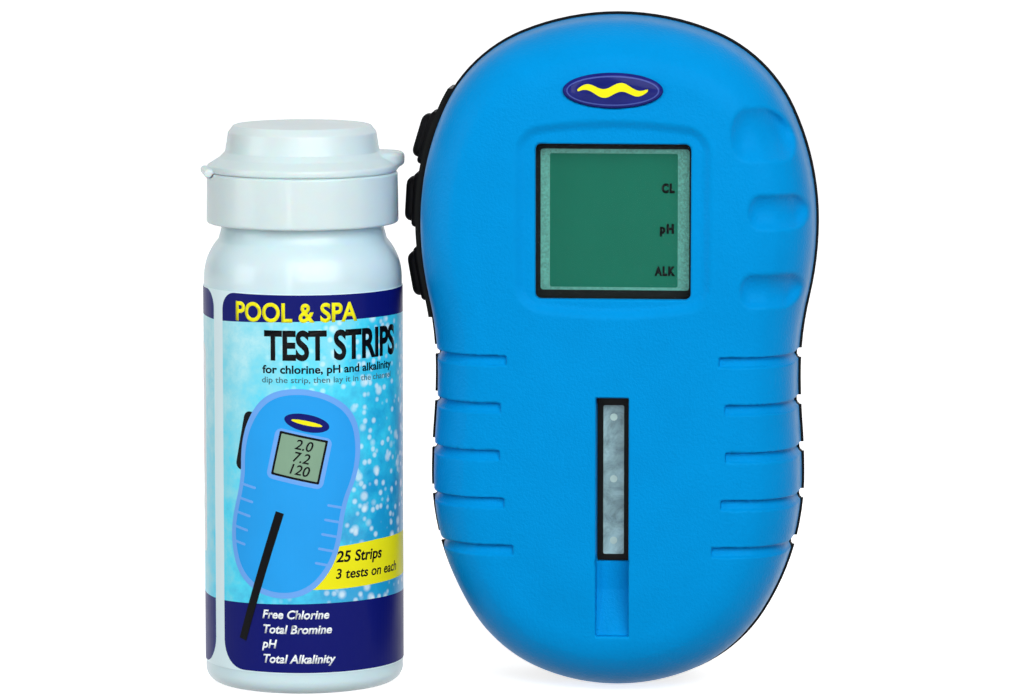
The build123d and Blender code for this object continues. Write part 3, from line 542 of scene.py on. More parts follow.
def front_field(x, y, z):
    height = -y
    body = front_body(x, y, z)
    solid = body
    for place in DIMPLES:
        solid = cut(solid, dimple(x, z, body, place), 0.35)
    outside = solid
    for rise, sides in groove_sides(x, z):  # steep at the top, easing out below
        deep = 0.35 + 0.7 * ease(rise, -1.0, 0.7)
        solid = cut(solid, round_box([*sides, -(body + deep)], GROOVE_CORNER), GROOVE_BLEND)
    shell = cut(solid, outside + WALL, 0.3)
    trough = round_box([np.abs(x) - 4.5, span(z, 8.8, 55.3), span(height, 10, 15), body + 0.6], 0.2)
    shell = np.minimum(shell, trough)
    for sx, sz in SCREWS:
        away = np.hypot(x - sx, z - sz)
        shell = np.minimum(shell, np.maximum(away - FRONT_BOSS, outside + 0.6))
        shell = np.maximum(shell, -np.maximum(away - PILOT, height - PILOT_DEPTH))
    opening = round_box([np.abs(x) - DISPLAY_HALF, np.abs(z - DISPLAY_Z) - DISPLAY_HALF], 1.0)
    shell = cut(shell, opening, 0.4)
    across = np.abs(x) - CHANNEL_HALF
    ramp = RAMP_FLOOR + RAMP_RISE * np.clip((RAMP_BREAK - z) / (RAMP_BREAK - CHANNEL_FOOT), 0, 1)
    for low, high, floor in ((RAMP_END, CHANNEL_TOP, CHANNEL_OPEN),
                             (CHANNEL_FOOT, RAMP_END + 0.5, ramp)):
        slot = np.maximum(np.maximum(across, span(z, low, high)), floor - height)
        shell = cut(shell, slot, 0.25)
    seat_x, seat_z = BADGE_SEAT
    badge_seat = (np.hypot(x / seat_x, (z - BADGE_Z) / seat_z) - 1) * seat_z
    shell = cut(shell, np.maximum(badge_seat, FACE - 0.5 - height), 0.2)
    return smooth_max(shell, y, 0.15)


def make_front_shell():
    shell = mould("front_shell_moulding", front_field, (-36.6, -FACE - 0.8, -0.9),
                  (36.6, 0.7, 121.7), 0.42, READER)
    show(shell, "reader", BLUE)
    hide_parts("front_shell")


# ======== rear shell
SEAM = in_reader("shell_seal")[1].y
BACK = in_reader("rear_shell")[1].y
TAPER = math.sin(math.radians(7))
RIM_PROUND, REAR_ROUND, BACK_WALL = 0.2, 5.0, 2.4
REAR_GROOVE, REAR_GROOVE_END = 0.8, 11  # depth, and the y where it runs out
REAR_BOSS, SCREW_WELL, SCREW_SHANK = 3.9, 2.8, 1.5
door_foot = in_reader("battery_door")[0].z
DOOR_SEAT, CELL_BAY = (14.55, 72.4, 14.77), (11.5, 19.5, 68.5, 10)
PIN_Y, PIN_Z, PIN_HOLE = 15.15, 73.2, 0.61
THUMB_OUT, THUMB_Z, THUMB_RADIUS = 3.6, 16.7, 5
REAR_LABEL = (17.1, 91, 10.1, 0.3)  # half width, height of its middle, half height, depth
bezel_low, bezel_high = in_reader("button_bezel")


def rear_body(x, y, z):
    """The rear half: the sides taper to the back while the underside stays level."""
    shrink = np.maximum(y - SEAM, 0) * TAPER
    edge = outline(x, z + shrink) + shrink - RIM_PROUND
    return round_box([edge, y - BACK], REAR_ROUND)


def rear_field(x, y, z):
    body = rear_body(x, y, z)
    solid = body
    for _, sides in groove_sides(x, z):
        bar = round_box([*sides, y - REAR_GROOVE_END, -(body + REAR_GROOVE)], GROOVE_CORNER)
        solid = cut(solid, bar, GROOVE_BLEND)
    cavity = smooth_max(body + WALL, y - (BACK - BACK_WALL), 0.5)
    shell = cut(solid, cavity, 0.3)
    for sx, sz in SCREWS:
        away = np.hypot(x - sx, z - sz)
        shell = np.minimum(shell, np.maximum(np.maximum(away - REAR_BOSS, body + 0.8), -y))
        shell = cut(shell, np.maximum(away - SCREW_WELL, 5 - y), 0.3)
        shell = np.maximum(shell, SCREW_SHANK - away)
    half, top, depth = DOOR_SEAT
    seat = round_box([np.abs(x) - half, span(z, door_foot - 0.25, top), depth - y], 0.3)
    shell = cut(shell, seat, 0.3)
    half, foot, top, depth = CELL_BAY
    bay = round_box([np.abs(x) - half, span(z, foot, top), depth - y], 0.4)
    shell = cut(shell, bay, 0.3)
    hinge = round_box([span(np.abs(x), 9.45, 11.55), span(z, 71.0, 74.35), 12 - y], 0.15)
    shell = cut(shell, hinge, 0.2)
    pin = np.maximum(np.hypot(y - PIN_Y, z - PIN_Z) - PIN_HOLE, span(np.abs(x), 11.0, 12.8))
    shell = np.maximum(shell, -pin)
    thumb = np.sqrt(x ** 2 + (y - BACK - THUMB_OUT) ** 2 + (z - THUMB_Z) ** 2) - THUMB_RADIUS
    shell = cut(shell, thumb, 0.4)
    half, middle_z, half_height, depth = REAR_LABEL
    label = round_box([np.abs(x) - half, np.abs(z - middle_z) - half_height, BACK - depth - y], 2.0)
    shell = cut(shell, label, 0.15)
    window = round_box([span(z, bezel_low.z - 0.1, bezel_high.z + 0.1),
                        span(y, bezel_low.y - 0.1, bezel_high.y + 0.1), x + 15,
                        -(outline(x, z) + 5.5)], 0.1)
    shell = cut(shell, window, 0.2)
    return smooth_max(shell, SEAM - y, 0.15)


def make_rear_shell():
    shell = mould("rear_shell_moulding", rear_field, (-36.8, 0.4, -1.1),
                  (36.8, BACK + 0.7, 122.0), 0.5, READER)
    show(shell, "reader", BLACK)
    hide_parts("rear_shell")


# ======== flat prints
def flat_mesh(data):
    """The mesh of a filled two-dimensional curve or text."""
    helper = add_object("helper", data)
    mesh = bpy.data.meshes.new_from_object(helper)
    bpy.data.objects.remove(helper)
    return mesh


def lettering(words, size, slant=0.0, weight=0.0, spacing=1.0, align="LEFT"):
    """Filled lettering in the plain built-in type, from its baseline."""
    data = bpy.data.curves.new("words", "FONT")
    data.body, data.size, data.shear, data.offset = words, size, slant, weight
    data.space_character, data.align_x = spacing, align
    data.fill_mode, data.resolution_u = "FRONT", 6
    return flat_mesh(data)


def shape(*loops):
    """A filled shape from closed loops of points; a loop inside another is a hole."""
    data = bpy.data.curves.new("shape", "CURVE")
    data.dimensions = "2D"
    data.fill_mode = "BOTH"
    for loop in loops:
        spline = data.splines.new("POLY")
        spline.points.add(len(loop) - 1)
        for point, (u, v) in zip(spline.points, loop):
            point.co = (u, v, 0, 1)
        spline.use_cyclic_u = True
    return flat_mesh(data)


def oval(width, height, power=2.0, points=72):
    """A closed loop; power 2 is an ellipse, and more is squarer."""
    loop = []
    for i in range(points):
        angle = 2 * math.pi * i / points
        c, s = math.cos(angle), math.sin(angle)
        loop.append((math.copysign(abs(c) ** (2 / power), c) * width / 2,
                     math.copysign(abs(s) ** (2 / power), s) * height / 2))
    return loop


def moved(loop, u, v, turn=0.0):
    """A loop turned by degrees and then moved."""
    c, s = direction(turn)
    return [(p * c - q * s + u, p * s + q * c + v) for p, q in loop]


def rounded(left, bottom, right, top, radii):
    """A rectangle's loop with one corner radius, or one each from the lower left round."""
    loop = []
    radii = radii if isinstance(radii, list) else [radii] * 4
    corners = [(left, bottom, 1, 1, 180), (right, bottom, -1, 1, 270), (right, top, -1, -1, 0),
               (left, top, 1, -1, 90)]
    for (cu, cv, su, sv, start), radius in zip(corners, radii):
        for i in range(9):
            c, s = direction(start + i * 90 / 8)
            loop.append((cu + su * radius + radius * c, cv + sv * radius + radius * s))
    return loop


def fitted(mesh, width):
    """Stretches lettering along its line to a width."""
    us = [v.co.x for v in mesh.vertices]
    mesh.transform(Matrix.Diagonal((width / (max(us) - min(us)), 1, 1, 1)))
    return mesh


def placed(mesh, u=0.0, v=0.0, turn=0.0):
    mesh.transform(Matrix.Translation((u, v, 0)) @ Matrix.Rotation(math.radians(turn), 4, "Z"))
    return mesh


def thick(name, mesh, outer, inner, body, material):
    """A thin printed layer: the flat mesh, mapped to an outer and an inner surface and closed."""
    work = bmesh.new()
    work.from_mesh(mesh)
    bmesh.ops.remove_doubles(work, verts=work.verts, dist=1e-5)
    bmesh.ops.dissolve_degenerate(work, edges=work.edges, dist=1e-5)
    bmesh.ops.recalc_face_normals(work, faces=work.faces)
    if work.faces and sum(f.normal.z * f.calc_area() for f in work.faces) < 0:
        bmesh.ops.reverse_faces(work, faces=work.faces)
    back = bmesh.ops.duplicate(work, geom=work.verts[:] + work.edges[:] + work.faces[:])
    twins = back["vert_map"]
    rims = [e for e in work.edges if e.is_boundary and e.verts[0] in twins and e.verts[1] in twins]
    copies = {g for g in back["geom"] if isinstance(g, bmesh.types.BMVert)}
    back_faces = [g for g in back["geom"] if isinstance(g, bmesh.types.BMFace)]
    bmesh.ops.reverse_faces(work, faces=back_faces)
    for edge in rims:
        if edge.verts[0] in copies or edge.verts[1] in copies:
            continue
        loop = edge.link_loops[0]
        first, second = loop.vert, loop.link_loop_next.vert
        work.faces.new((second, first, twins[first], twins[second]))
    for vert in work.verts:
        vert.co = (inner if vert in copies else outer)(vert.co.x, vert.co.y)
    bmesh.ops.recalc_face_normals(work, faces=work.faces)
    result = bpy.data.meshes.new(name)
    work.to_mesh(result)
    work.free()
    return show(add_object(name, result), body, material)


def sliced(mesh, step):
    """Cuts a flat mesh along upright lines, so that it can bend round a cylinder."""
    work = bmesh.new()
    work.from_mesh(mesh)
    us = [v.co.x for v in work.verts]
    for i in range(math.floor(min(us) / step) + 1, math.ceil(max(us) / step)):
        bmesh.ops.bisect_plane(work, geom=work.verts[:] + work.edges[:] + work.faces[:],
                               plane_co=(i * step, 0, 0), plane_no=(1, 0, 0), dist=1e-5)
    work.to_mesh(mesh)
    work.free()
    return mesh


# ======== the display
# The field's gaps to the opening at the left, bottom, right and top.
FIELD_GAPS = (2.35, 1.8, 2.45, 1.9)
CAPTION_RIGHT = 10.65
# Each caption's words, width and the height of its middle over the display's.
CAPTIONS = [("CL", 2.3, 5.75), ("pH", 2.5, -1.45), ("ALK", 3.7, -9.0)]


def make_display():
    """The panel's light border, its green field, the black gasket (its wide band along the top is
    partly painted shadow), and three captions at the right.
    """
    face = in_reader("display_panel")[0].y
    half = DISPLAY_HALF

    def layer(name, mesh, front, material, behind=0.02):
        thick(name, mesh, on_reader(front), on_reader(front + behind), "reader", material)

    def square(out, corner):
        return rounded(-half - out, -half - out, half + out, half + out, corner)

    left, bottom, right, top = FIELD_GAPS
    inner = rounded(-half + left, -half + bottom, half - right, half - top, 0.3)
    border = placed(shape(square(0.6, 0.5), inner), v=DISPLAY_Z)
    layer("display_border_film", border, face - 0.14, LCD_BORDER, 0.12)
    layer("display_field", placed(shape(inner), v=DISPLAY_Z), face - 0.04, LCD_GREEN)
    # Black rubber gasket behind the lens; its wide band along the top of the opening is partly real
    # gasket and partly painted shadow from the opening's upper edge.
    gasket_and_shadow = shape(square(0.9, 0.8), rounded(-half + 0.7, -half + 1.3, half - 0.4, half - 1.1, 0.5))
    layer("display_gasket_and_painted_shadow", placed(gasket_and_shadow, v=DISPLAY_Z), lens_high.y + 0.02, RUBBER, 0.1)
    for words, width, rise in CAPTIONS:
        caption = fitted(lettering(words, 2.15, weight=0.14, spacing=1.25, align="RIGHT"), width)
        caption = placed(caption, CAPTION_RIGHT, DISPLAY_Z + rise - 0.75)
        layer("caption_" + words.lower(), caption, face - 0.16, INK)


# ======== badge
DOME_WIDTH, DOME_HEIGHT, DOME_RISE = 8.85, 3.15, 0.62  # half width and half height
DOME_RINGS, DOME_TURNS = 14, 96
DOME_SUNK = 0.45  # its foot below the face
WAVE_STEPS, WAVE_HALF = 40, 6.2


def welded(name, points, faces, reach):
    """A smooth mesh whose points within reach of each other, in metres, are joined."""
    mesh = new_mesh(name, points, faces)
    work = bmesh.new()
    work.from_mesh(mesh)
    bmesh.ops.remove_doubles(work, verts=work.verts, dist=reach)
    bmesh.ops.recalc_face_normals(work, faces=work.faces)
    work.to_mesh(mesh)
    work.free()
    mesh.shade_smooth()
    return mesh


def dome_rise(out):
    """The badge's height over its edge, from 0 in its middle to 1 at its edge."""
    return DOME_RISE * math.sqrt(max(1 - out ** 3.2, 0))


def on_badge(lift):
    """Maps a flat print to the badge's dome, lift millimetres proud of it."""
    def at(u, v):
        out = min(math.hypot(u / DOME_WIDTH, (v - BADGE_Z) / DOME_HEIGHT), 1)
        return Vector((u, -(FACE + dome_rise(out) + lift), v)) * MM + READER
    return at


def make_badge():
    """A glossy navy dome with a fine light line and a plain yellow wave."""
    points, faces = [], []
    for i in range(DOME_RINGS + 1):
        out = i / DOME_RINGS
        for j in range(DOME_TURNS):
            c, s = direction(360 * j / DOME_TURNS)
            points.append(Vector((DOME_WIDTH * out * c, -(FACE + dome_rise(out) - 0.02),
                                  DOME_HEIGHT * out * s + BADGE_Z)))
    for i in range(DOME_RINGS):
        for j in range(DOME_TURNS):
            a, b = i * DOME_TURNS + j, i * DOME_TURNS + (j + 1) % DOME_TURNS
            faces.append((a, b, b + DOME_TURNS, a + DOME_TURNS))
    rim = DOME_RINGS * DOME_TURNS
    foot = rim + DOME_TURNS
    points += [Vector((p.x, -(FACE - DOME_SUNK), p.z)) for p in points[rim:foot]]
    for j in range(DOME_TURNS):
        after = (j + 1) % DOME_TURNS
        faces.append((rim + j, rim + after, foot + after, foot + j))
    faces.append(tuple(range(foot, foot + DOME_TURNS)))
    mesh = welded("badge_dome", [p * MM + READER for p in points], faces, 1e-6)
    dome = add_object("badge_dome", mesh)
    enamel = shader("badge_enamel", (0.008, 0.012, 0.17), 0.25, Coat_Weight=0.12,
                    Coat_Roughness=0.05, Specular_IOR_Level=0.05)
    deep = tinted(enamel, noise(enamel, 160, 2), (0.006, 0.01, 0.14), (0.012, 0.018, 0.21))
    enamel.look(Base_Color=deep)
    show(dome, "reader", enamel.owner)
    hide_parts("badge")

    silver = printed("badge_line", (0.06, 0.09, 0.36), 0.2)
    line = placed(sliced(shape(oval(16.4, 5.3), oval(15.9, 4.8)), 0.6), v=BADGE_Z)
    thick("badge_line", line, on_badge(0.02), on_badge(-0.05), "reader", silver)
    upper, lower = [], []
    for i in range(WAVE_STEPS + 1):
        u = -WAVE_HALF + 2 * WAVE_HALF * i / WAVE_STEPS
        crest = 0.55 * math.sin(u * 1.02) + 0.1
        swell = 0.18 + 0.62 * math.sin(math.pi * i / WAVE_STEPS) ** 0.7
        upper.append((u, crest + swell))
        lower.append((u, crest - swell))
    wave = placed(sliced(shape(upper + lower[::-1]), 0.5), v=BADGE_Z)
    thick("badge_wave", wave, on_badge(0.05), on_badge(-0.05), "reader", YELLOW)


# ======== optics
SPOT_MIDDLE, SPOT_PITCH, SPOT_WIDTH = 38.6, 11.1, 1.3


def make_optics():
    """The strip window's smoked film, the three light spots and the window's rim."""
    low, high = in_reader("sensor_window")
    film = shader("window_film", (0.2, 0.25, 0.22), 0.3)
    streaks = noise(film, 220, 5, 0.7, distortion=1.2)
    film.look(Base_Color=tinted(film, streaks, (0.10, 0.18, 0.19), (0.35, 0.56, 0.58)))
    paint("sensor_window", film.owner)
    spot = moulded("light_spot", (0.46, 0.62, 0.56), 0.3, grain=0.15, height=0.01, mottle=0.2)

    def proud(lift):
        return on_reader(low.y - lift)

    for index in (-1, 0, 1):
        disc = placed(shape(oval(SPOT_WIDTH, SPOT_WIDTH, points=32)), 0.0,
                      SPOT_MIDDLE + SPOT_PITCH * index)
        thick(f"light_spot_{index + 2}", disc, proud(0.03), proud(-0.02), "reader", spot)
    rim = shape(rounded(-2.3, low.z - 0.3, 2.3, high.z + 0.3, 0.3),
                rounded(-1.85, low.z + 0.25, 1.85, high.z - 0.25, 0.3))
    thick("window_rim", rim, proud(0.16), proud(-0.05), "reader", TRIM)


# ======== vial
label_low, label_high = in_vial("vial_label")
RADIUS = max(label_high.x, label_high.y, -label_low.x, -label_low.y)
BODY_RADIUS = RADIUS - 0.1
ring_low, ring_high = in_vial("closure_ring")
lid_low, lid_high = in_vial("flip_lid")
LID_TURN = math.radians(12)
LID_FOOT = ring_high.z + 0.2
HINGE_RADIUS, KNUCKLE_RADIUS, KNUCKLE_HALF = 17.3, 0.8, 4.5
MOUTH, NECK = 12.9, 14.0
MOUTH_LIP, MOUTH_Z = 0.35, 92.05  # the lip's rounding and where it starts
SHOULDER_ROUND, SHOULDER_Z = 10.5, 73.6
HEEL_X, HEEL_ROUND = 15.4, 2.5


def lathe(name, profile, body, material, turns=144):
    """A closed profile of (radius, height) points turned about the vial's axis."""
    points, faces = [], []
    for j in range(turns):
        c, s = direction(360 * j / turns)
        points += [Vector((r * c, r * s, z)) * MM + VIAL for r, z in profile]
    n = len(profile)
    for j in range(turns):
        a, b = j * n, (j + 1) % turns * n
        faces += [(a + i, b + i, b + (i + 1) % n, a + (i + 1) % n) for i in range(n)]
    mesh = welded(name, points, faces, 1e-7)
    mesh.set_sharp_from_angle(angle=math.radians(40))
    return show(add_object(name, mesh), body, material)


def bend(cr, cz, radius, start, end, steps=10):
    """Points of an arc in a profile, from one angle to another in degrees."""
    angles = [start + (end - start) * i / steps for i in range(steps + 1)]
    return [(cr + radius * direction(a)[0], cz + radius * direction(a)[1]) for a in angles]


def make_bottle():
    r = BODY_RADIUS
    foot = [(0.0, 0.9), (9.8, 0.8), (10.6, 0.45), (11.2, 0.03), (13.0, 0.0), (15.2, 0.0)]
    heel = [(min(p, r), max(q, 0)) for p, q in bend(HEEL_X, HEEL_ROUND, HEEL_ROUND, -90, 0)]
    shoulder = bend(r - SHOULDER_ROUND, SHOULDER_Z, SHOULDER_ROUND, 0, 42, 12)
    neck_foot = [(NECK + 0.5, 83.3), (NECK + 0.3, 84.3), (NECK, 84.9)]
    top = (bend(NECK - MOUTH_LIP, MOUTH_Z, MOUTH_LIP, 0, 90, 4)
           + bend(MOUTH + MOUTH_LIP, MOUTH_Z, MOUTH_LIP, 90, 180, 4))
    inside = [(MOUTH, 82.7), (14.2, 80.3), (r - 2.3, 77.3), (r - 1.3, 74.5), (r - 1.1, 71.7),
              (r - 1.1, 2.4), (r - 2.2, 1.3), (8.0, 1.3), (0.0, 1.9)]
    profile = foot + heel + shoulder + neck_foot + top + inside
    bottle = lathe("bottle_moulding", profile, "vial", WHITE)
    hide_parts("vial_bottle")


def along_lid(x, y):
    """How far a point lies towards the thumb tab, and how far to its side."""
    return (x * math.cos(LID_TURN) + y * math.sin(LID_TURN),
            -x * math.sin(LID_TURN) + y * math.cos(LID_TURN))


def hinge_distance(x, y, z):
    """Distance from the lid's hinge axis, and distance along it from its middle."""
    forward, aside = along_lid(x, y)
    return np.hypot(-forward - HINGE_RADIUS, z - LID_FOOT), aside


def ring_field(x, y, z):
    r = np.hypot(x, y)
    lean = (ring_high.z - z) * 0.012
    beyond = [r - ring_high.x * 0.995 - lean, span(z, ring_low.z, ring_high.z + 0.12)]
    bore = r - np.where(z > ring_high.z - 6.5, NECK + 0.06, NECK + 0.45)
    ring = cut(round_box(beyond, 0.5), bore, 0.2)
    near, along = hinge_distance(x, y, z)
    hollow = np.maximum(near - KNUCKLE_RADIUS - 0.15, np.abs(along) - KNUCKLE_HALF - 0.3)
    return cut(ring, hollow, 0.15)


def lid_field(x, y, z):
    """Bevel and drum in one, hollow below, with the plug, the thumb tab and the knuckle."""
    r = np.hypot(x, y)
    foot, top = LID_FOOT, lid_high.z
    dome = 0.2 * (1 - np.clip(r / 12.5, 0, 1) ** 2)
    profile = [(-1, foot + 0.34), (16.7, foot + 0.34), (16.7, foot + 0.95), (14.7, foot + 2.2),
               (13.55, foot + 3.4), (13.0, top - 1.7), (12.2, top - 0.68), (-1, top - 0.62)]
    solid = polygon(r, np.where(z > top - 1.6, z - dome, z), profile, 0.4)
    forward, aside = along_lid(x, y)
    tip = np.hypot(np.maximum(forward - 13.8, 0), aside) - 4.7
    tab = round_box([np.maximum(tip, 10 - forward), span(z, foot + 0.7, foot + 3.4)], 0.9)
    solid = smooth_min(solid, tab, 0.9)
    hollow = round_box([r - 11.2, span(z, 80, top - 2.2)], 0.6)
    solid = cut(solid, hollow, 0.3)
    plug = [(11.35, lid_low.z + 0.15), (11.85, lid_low.z + 0.15), (12.45, foot),
            (12.45, foot + 0.9), (11.35, foot + 0.9)]
    solid = np.minimum(solid, polygon(r, z, plug, 0.12))
    near, along = hinge_distance(x, y, z)
    knuckle = round_box([near - KNUCKLE_RADIUS, np.abs(along) - KNUCKLE_HALF], 0.3)
    return smooth_min(solid, knuckle, 0.4)


def make_closure():
    ring = mould("closure_ring_moulding", ring_field, (-18, -18, ring_low.z - 0.8),
                 (18, 18, ring_high.z + 0.8), 0.34, VIAL)
    show(ring, "vial", CAP)
    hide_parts("closure_ring")
    lid = mould("flip_lid_moulding", lid_field, (-19.6, -19.6, lid_low.z - 0.8),
                (19.6, 19.6, lid_high.z + 0.8), 0.3, VIAL)
    show(lid, "lid", CAP)
    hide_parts("flip_lid")


# ======== wrap label
LABEL_FACE = 8.0  # degrees from the front to the middle of what the label shows
PANEL_LEFT, PANEL_RIGHT = -17.0, 40.6
BACK_LEFT, BACK_RIGHT = 43.6, 93.1
PANEL_FOOT, PANEL_HEAD = 5.0, 3.2  # the panels' corner rounding
LABEL_TOP, LABEL_BOTTOM = label_high.z, label_low.z


def on_label(lift):
    """Maps a point of the unrolled label to the vial, lift millimetres proud of it."""
    def at(u, v):
        angle = math.radians(LABEL_FACE) + u / RADIUS
        r = RADIUS + lift
        return Vector((r * math.sin(angle), -r * math.cos(angle), v)) * MM + VIAL
    return at


def on_print(name, mesh, level, material):
    """A printed layer on the label; a higher level lies over a lower one."""
    lift = 0.02 + 0.008 * level
    return thick(name, sliced(mesh, 0.9), on_label(lift), on_label(lift - 0.03), "vial", material)


def curved(left, right, height, bow, steps=24):
    """An open run of points from left to right, bowed up in its middle."""
    return [(left + (right - left) * i / steps, height + bow * math.sin(math.pi * i / steps))
            for i in range(steps + 1)]


def panel(name, left, right):
    """One printed panel: water with a navy band above and below."""
    top, bottom = LABEL_TOP - 0.15, LABEL_BOTTOM + 0.2
    water = rounded(left, bottom, right, top, [PANEL_FOOT] * 2 + [PANEL_HEAD] * 2)
    on_print(name + "_water", shape(water), 1, WATER)
    head = rounded(left, 60, right, top, [0.01, 0.01, PANEL_HEAD, PANEL_HEAD])
    head = curved(left, right, 66.9, 0.7) + [p for p in head if p[1] > 66.6]
    on_print(name + "_head", shape(head), 2, NAVY)
    foot = rounded(left, bottom, right, 30, [PANEL_FOOT, PANEL_FOOT, 0.01, 0.01])
    foot = [p for p in foot if p[1] < 15] + curved(left, right, 16.3, 0.5)[::-1]
    on_print(name + "_foot", shape(foot), 2, NAVY)


def reader_outline(middle_z, steps=6):
    """The reader's outline as a loop about its middle height."""
    right = []
    for cx, cz, radius, side, (mx, mz), near in ARCS:
        half_turn = math.degrees(math.acos(near))
        mid = math.degrees(math.atan2(mz, mx))
        for i in range(steps):
            c, s = direction(mid - side * half_turn * (1 - i / (steps / 2)))
            right.append((cx + radius * c, cz + radius * s - middle_z))
    return right + [(-u, v) for u, v in right[::-1]]


def make_picture():
    """The label's small tilted picture of a strip reader."""
    cu, cv, turn = -2.6, 36.5, -12.4
    body = reader_outline(60.4)

    def print_part(name, loop, level, material):
        on_print("picture_" + name, shape(moved(loop, cu, cv, turn)), level, material)

    def shrunk(across, along):
        return [(u * across, v * along) for u, v in body]

    screen = printed("picture_screen", (0.22, 0.36, 0.25))
    print_part("keys", rounded(-11.8, 1.8, -9.2, 12.6, 1.2), 5, INK)
    print_part("rim", shrunk(0.315, 0.315), 6, PICTURE_LIGHT)
    print_part("body", shrunk(0.288, 0.298), 7, PICTURE_BLUE)
    print_part("badge", moved(oval(8.2, 3.1), 0, 13.1), 8, NAVY)
    print_part("wave", moved(oval(5.6, 0.8), 0, 13.1), 9, YELLOW)
    print_part("surround", rounded(-5.2, 1.9, 5.2, 11.2, 1.2), 8, PICTURE_LIGHT)
    print_part("screen_edge", rounded(-4.4, 2.7, 4.4, 10.75, 0.25), 9, INK)
    print_part("screen", rounded(-4.0, 3.1, 4.0, 10.35, 0.2), 10, screen)
    for index, digits in enumerate(("2.0", "7.2", "120")):
        words = lettering(digits, 2.6, slant=0.15, weight=0.03, align="CENTER")
        words = placed(placed(words, 0.3, 8.15 - 2.25 * index), cu, cv, turn)
        on_print(f"picture_digits_{index + 1}", words, 11, INK)
    for side in (-1, 1):
        for index in range(5):
            u, v = side * 8.3, -0.6 - 2.65 * index
            grip = rounded(u - 1.6, v - 0.22, u + 1.6, v + 0.22, 0.2)
            print_part(f"grip_{side + 2}_{index + 1}", grip, 8, PICTURE_LIGHT)
    near, far = Vector((-4.7, 33.2)), Vector((-12.2, 9.8))
    half = (far - near).orthogonal().normalized() * 0.78
    on_print("picture_strip", shape([near - half, far - half, far + half, near + half]), 12, INK)


def label_line(name, words, size, place, level, ink, width=None, **setting):
    """A line of lettering on the label, from its left end and stretched to a width."""
    line = lettering(words, size, **setting)
    on_print(name, placed(fitted(line, width) if width else line, *place), level, ink)


def make_label():
    film = moulded("label_film", (0.70, 0.87, 0.90), 0.3, grain=1.0, height=0.006, mottle=0.01)
    paint("vial_label", film)
    panel("front_panel", PANEL_LEFT, PANEL_RIGHT)
    panel("back_panel", BACK_LEFT, BACK_RIGHT)
    grey = printed("ink_grey", (0.06, 0.14, 0.17))
    label_line("title", "POOL & SPA", 4.7, (-13.6, 67.4), 4, YELLOW, 23.2, weight=0.13)
    label_line("name", "TEST STRIPS", 7.2, (-7.4, 60.7), 4, INK, 27.4, weight=0.24, spacing=0.98)
    label_line("subtitle", "for chlorine, pH and alkalinity", 2.0, (-7.8, 58.2), 3, INK, 26.4,
               weight=0.05)
    label_line("hint", "dip the strip, then lay it in the channel", 1.5, (-8.0, 56.5), 3, grey,
               26.4, weight=0.01)
    make_picture()
    band = [(-1.6, 19.3), (5.0, 19.2), (14.0, 19.5), (27.0, 19.8), (27.0, 27.6), (14.0, 27.5),
            (4.2, 26.8)]
    on_print("count_band", shape(band), 3, YELLOW)
    label_line("count", "25 Strips", 2.8, (5.4, 24.1), 4, INK, slant=0.15, weight=0.07)
    label_line("count_tests", "3 tests on each", 2.5, (5.2, 21.1), 4, INK, slant=0.15, weight=0.05)
    for index, words in enumerate(("Free Chlorine", "Total Bromine", "pH", "Total Alkalinity")):
        label_line(f"test_line_{index + 1}", words, 2.15, (-8.2, 14.0 - 2.68 * index), 4, PAPER,
                   slant=0.2, weight=0.06)
    make_chart()


CHART = [("Cl", [(0.93, 0.90, 0.72), (0.88, 0.72, 0.74), (0.80, 0.48, 0.66), (0.62, 0.20, 0.50)]),
         ("pH", [(0.90, 0.62, 0.16), (0.90, 0.42, 0.10), (0.85, 0.22, 0.08), (0.70, 0.06, 0.08)]),
         ("TA", [(0.75, 0.72, 0.20), (0.42, 0.55, 0.18), (0.16, 0.42, 0.22), (0.04, 0.26, 0.26)])]


def make_chart():
    """The back panel's plain chart: three named rows of colour patches."""
    left, top = BACK_LEFT + 8, 58.0
    on_print("chart_card", shape(rounded(left - 3, 24, left + 37, 62, 1.5)), 3, PAPER)
    for row, (words, colours) in enumerate(CHART):
        v = top - 12.0 * row
        label_line(f"chart_name_{row + 1}", words, 3.2, (left, v - 5.4), 4, INK, weight=0.05)
        for column, colour in enumerate(colours):
            ink = printed(f"chart_ink_{row + 1}_{column + 1}", colour)
            u = left + 7 + 7.2 * column
            patch = shape(rounded(u, v - 6.5, u + 5.6, v, 0.4))
            on_print(f"chart_patch_{row + 1}_{column + 1}", patch, 4, ink)


# ======== the CAD nodes that stay
def cell_print():
    """The battery cells' sleeve: orange at the lower end, dark above."""
    low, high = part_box("battery_cells")
    jacket = shader("cell_jacket", (0.05, 0.05, 0.055), 0.25)
    upright = jacket.add("SeparateXYZ", "Z", Vector=jacket.add("TexCoord", "Object"))
    height = jacket.add("MapRange", "Result", From_Min=low.z, From_Max=high.z, Value=upright)
    stops = [(0.0, (0.55, 0.22, 0.02)), (0.28, (0.03, 0.03, 0.035))]
    jacket.look(Base_Color=ramped(jacket, height, stops, "CONSTANT"))
    return jacket.owner


# Node, material name, colour and roughness.
PLAIN_LOOKS = [("zebra_connectors", "zebra_rubber", (0.30, 0.16, 0.18), 0.6),
               ("sensor_leds", "lamp_resin", (0.75, 0.75, 0.66), 0.2),
               ("sensor_photodiodes", "sensor_resin", (0.02, 0.02, 0.03), 0.2),
               ("board_chips", "chip_resin", (0.015, 0.015, 0.016), 0.55),
               ("switch_flex", "amber_film", (0.50, 0.22, 0.03), 0.25),
               ("tact_switches", "switch_resin", (0.03, 0.03, 0.03), 0.45),
               ("battery_tray", "tray_grey", (0.05, 0.05, 0.055), 0.5),
               ("strip_backings", "strip_film", (0.85, 0.86, 0.86), 0.4)]
PAD_LOOKS = [("chlorine_pads", "pad_cream", (0.78, 0.74, 0.52)),
             ("ph_pads", "pad_orange", (0.74, 0.36, 0.10)),
             ("alkalinity_pads", "pad_green", (0.58, 0.56, 0.18))]


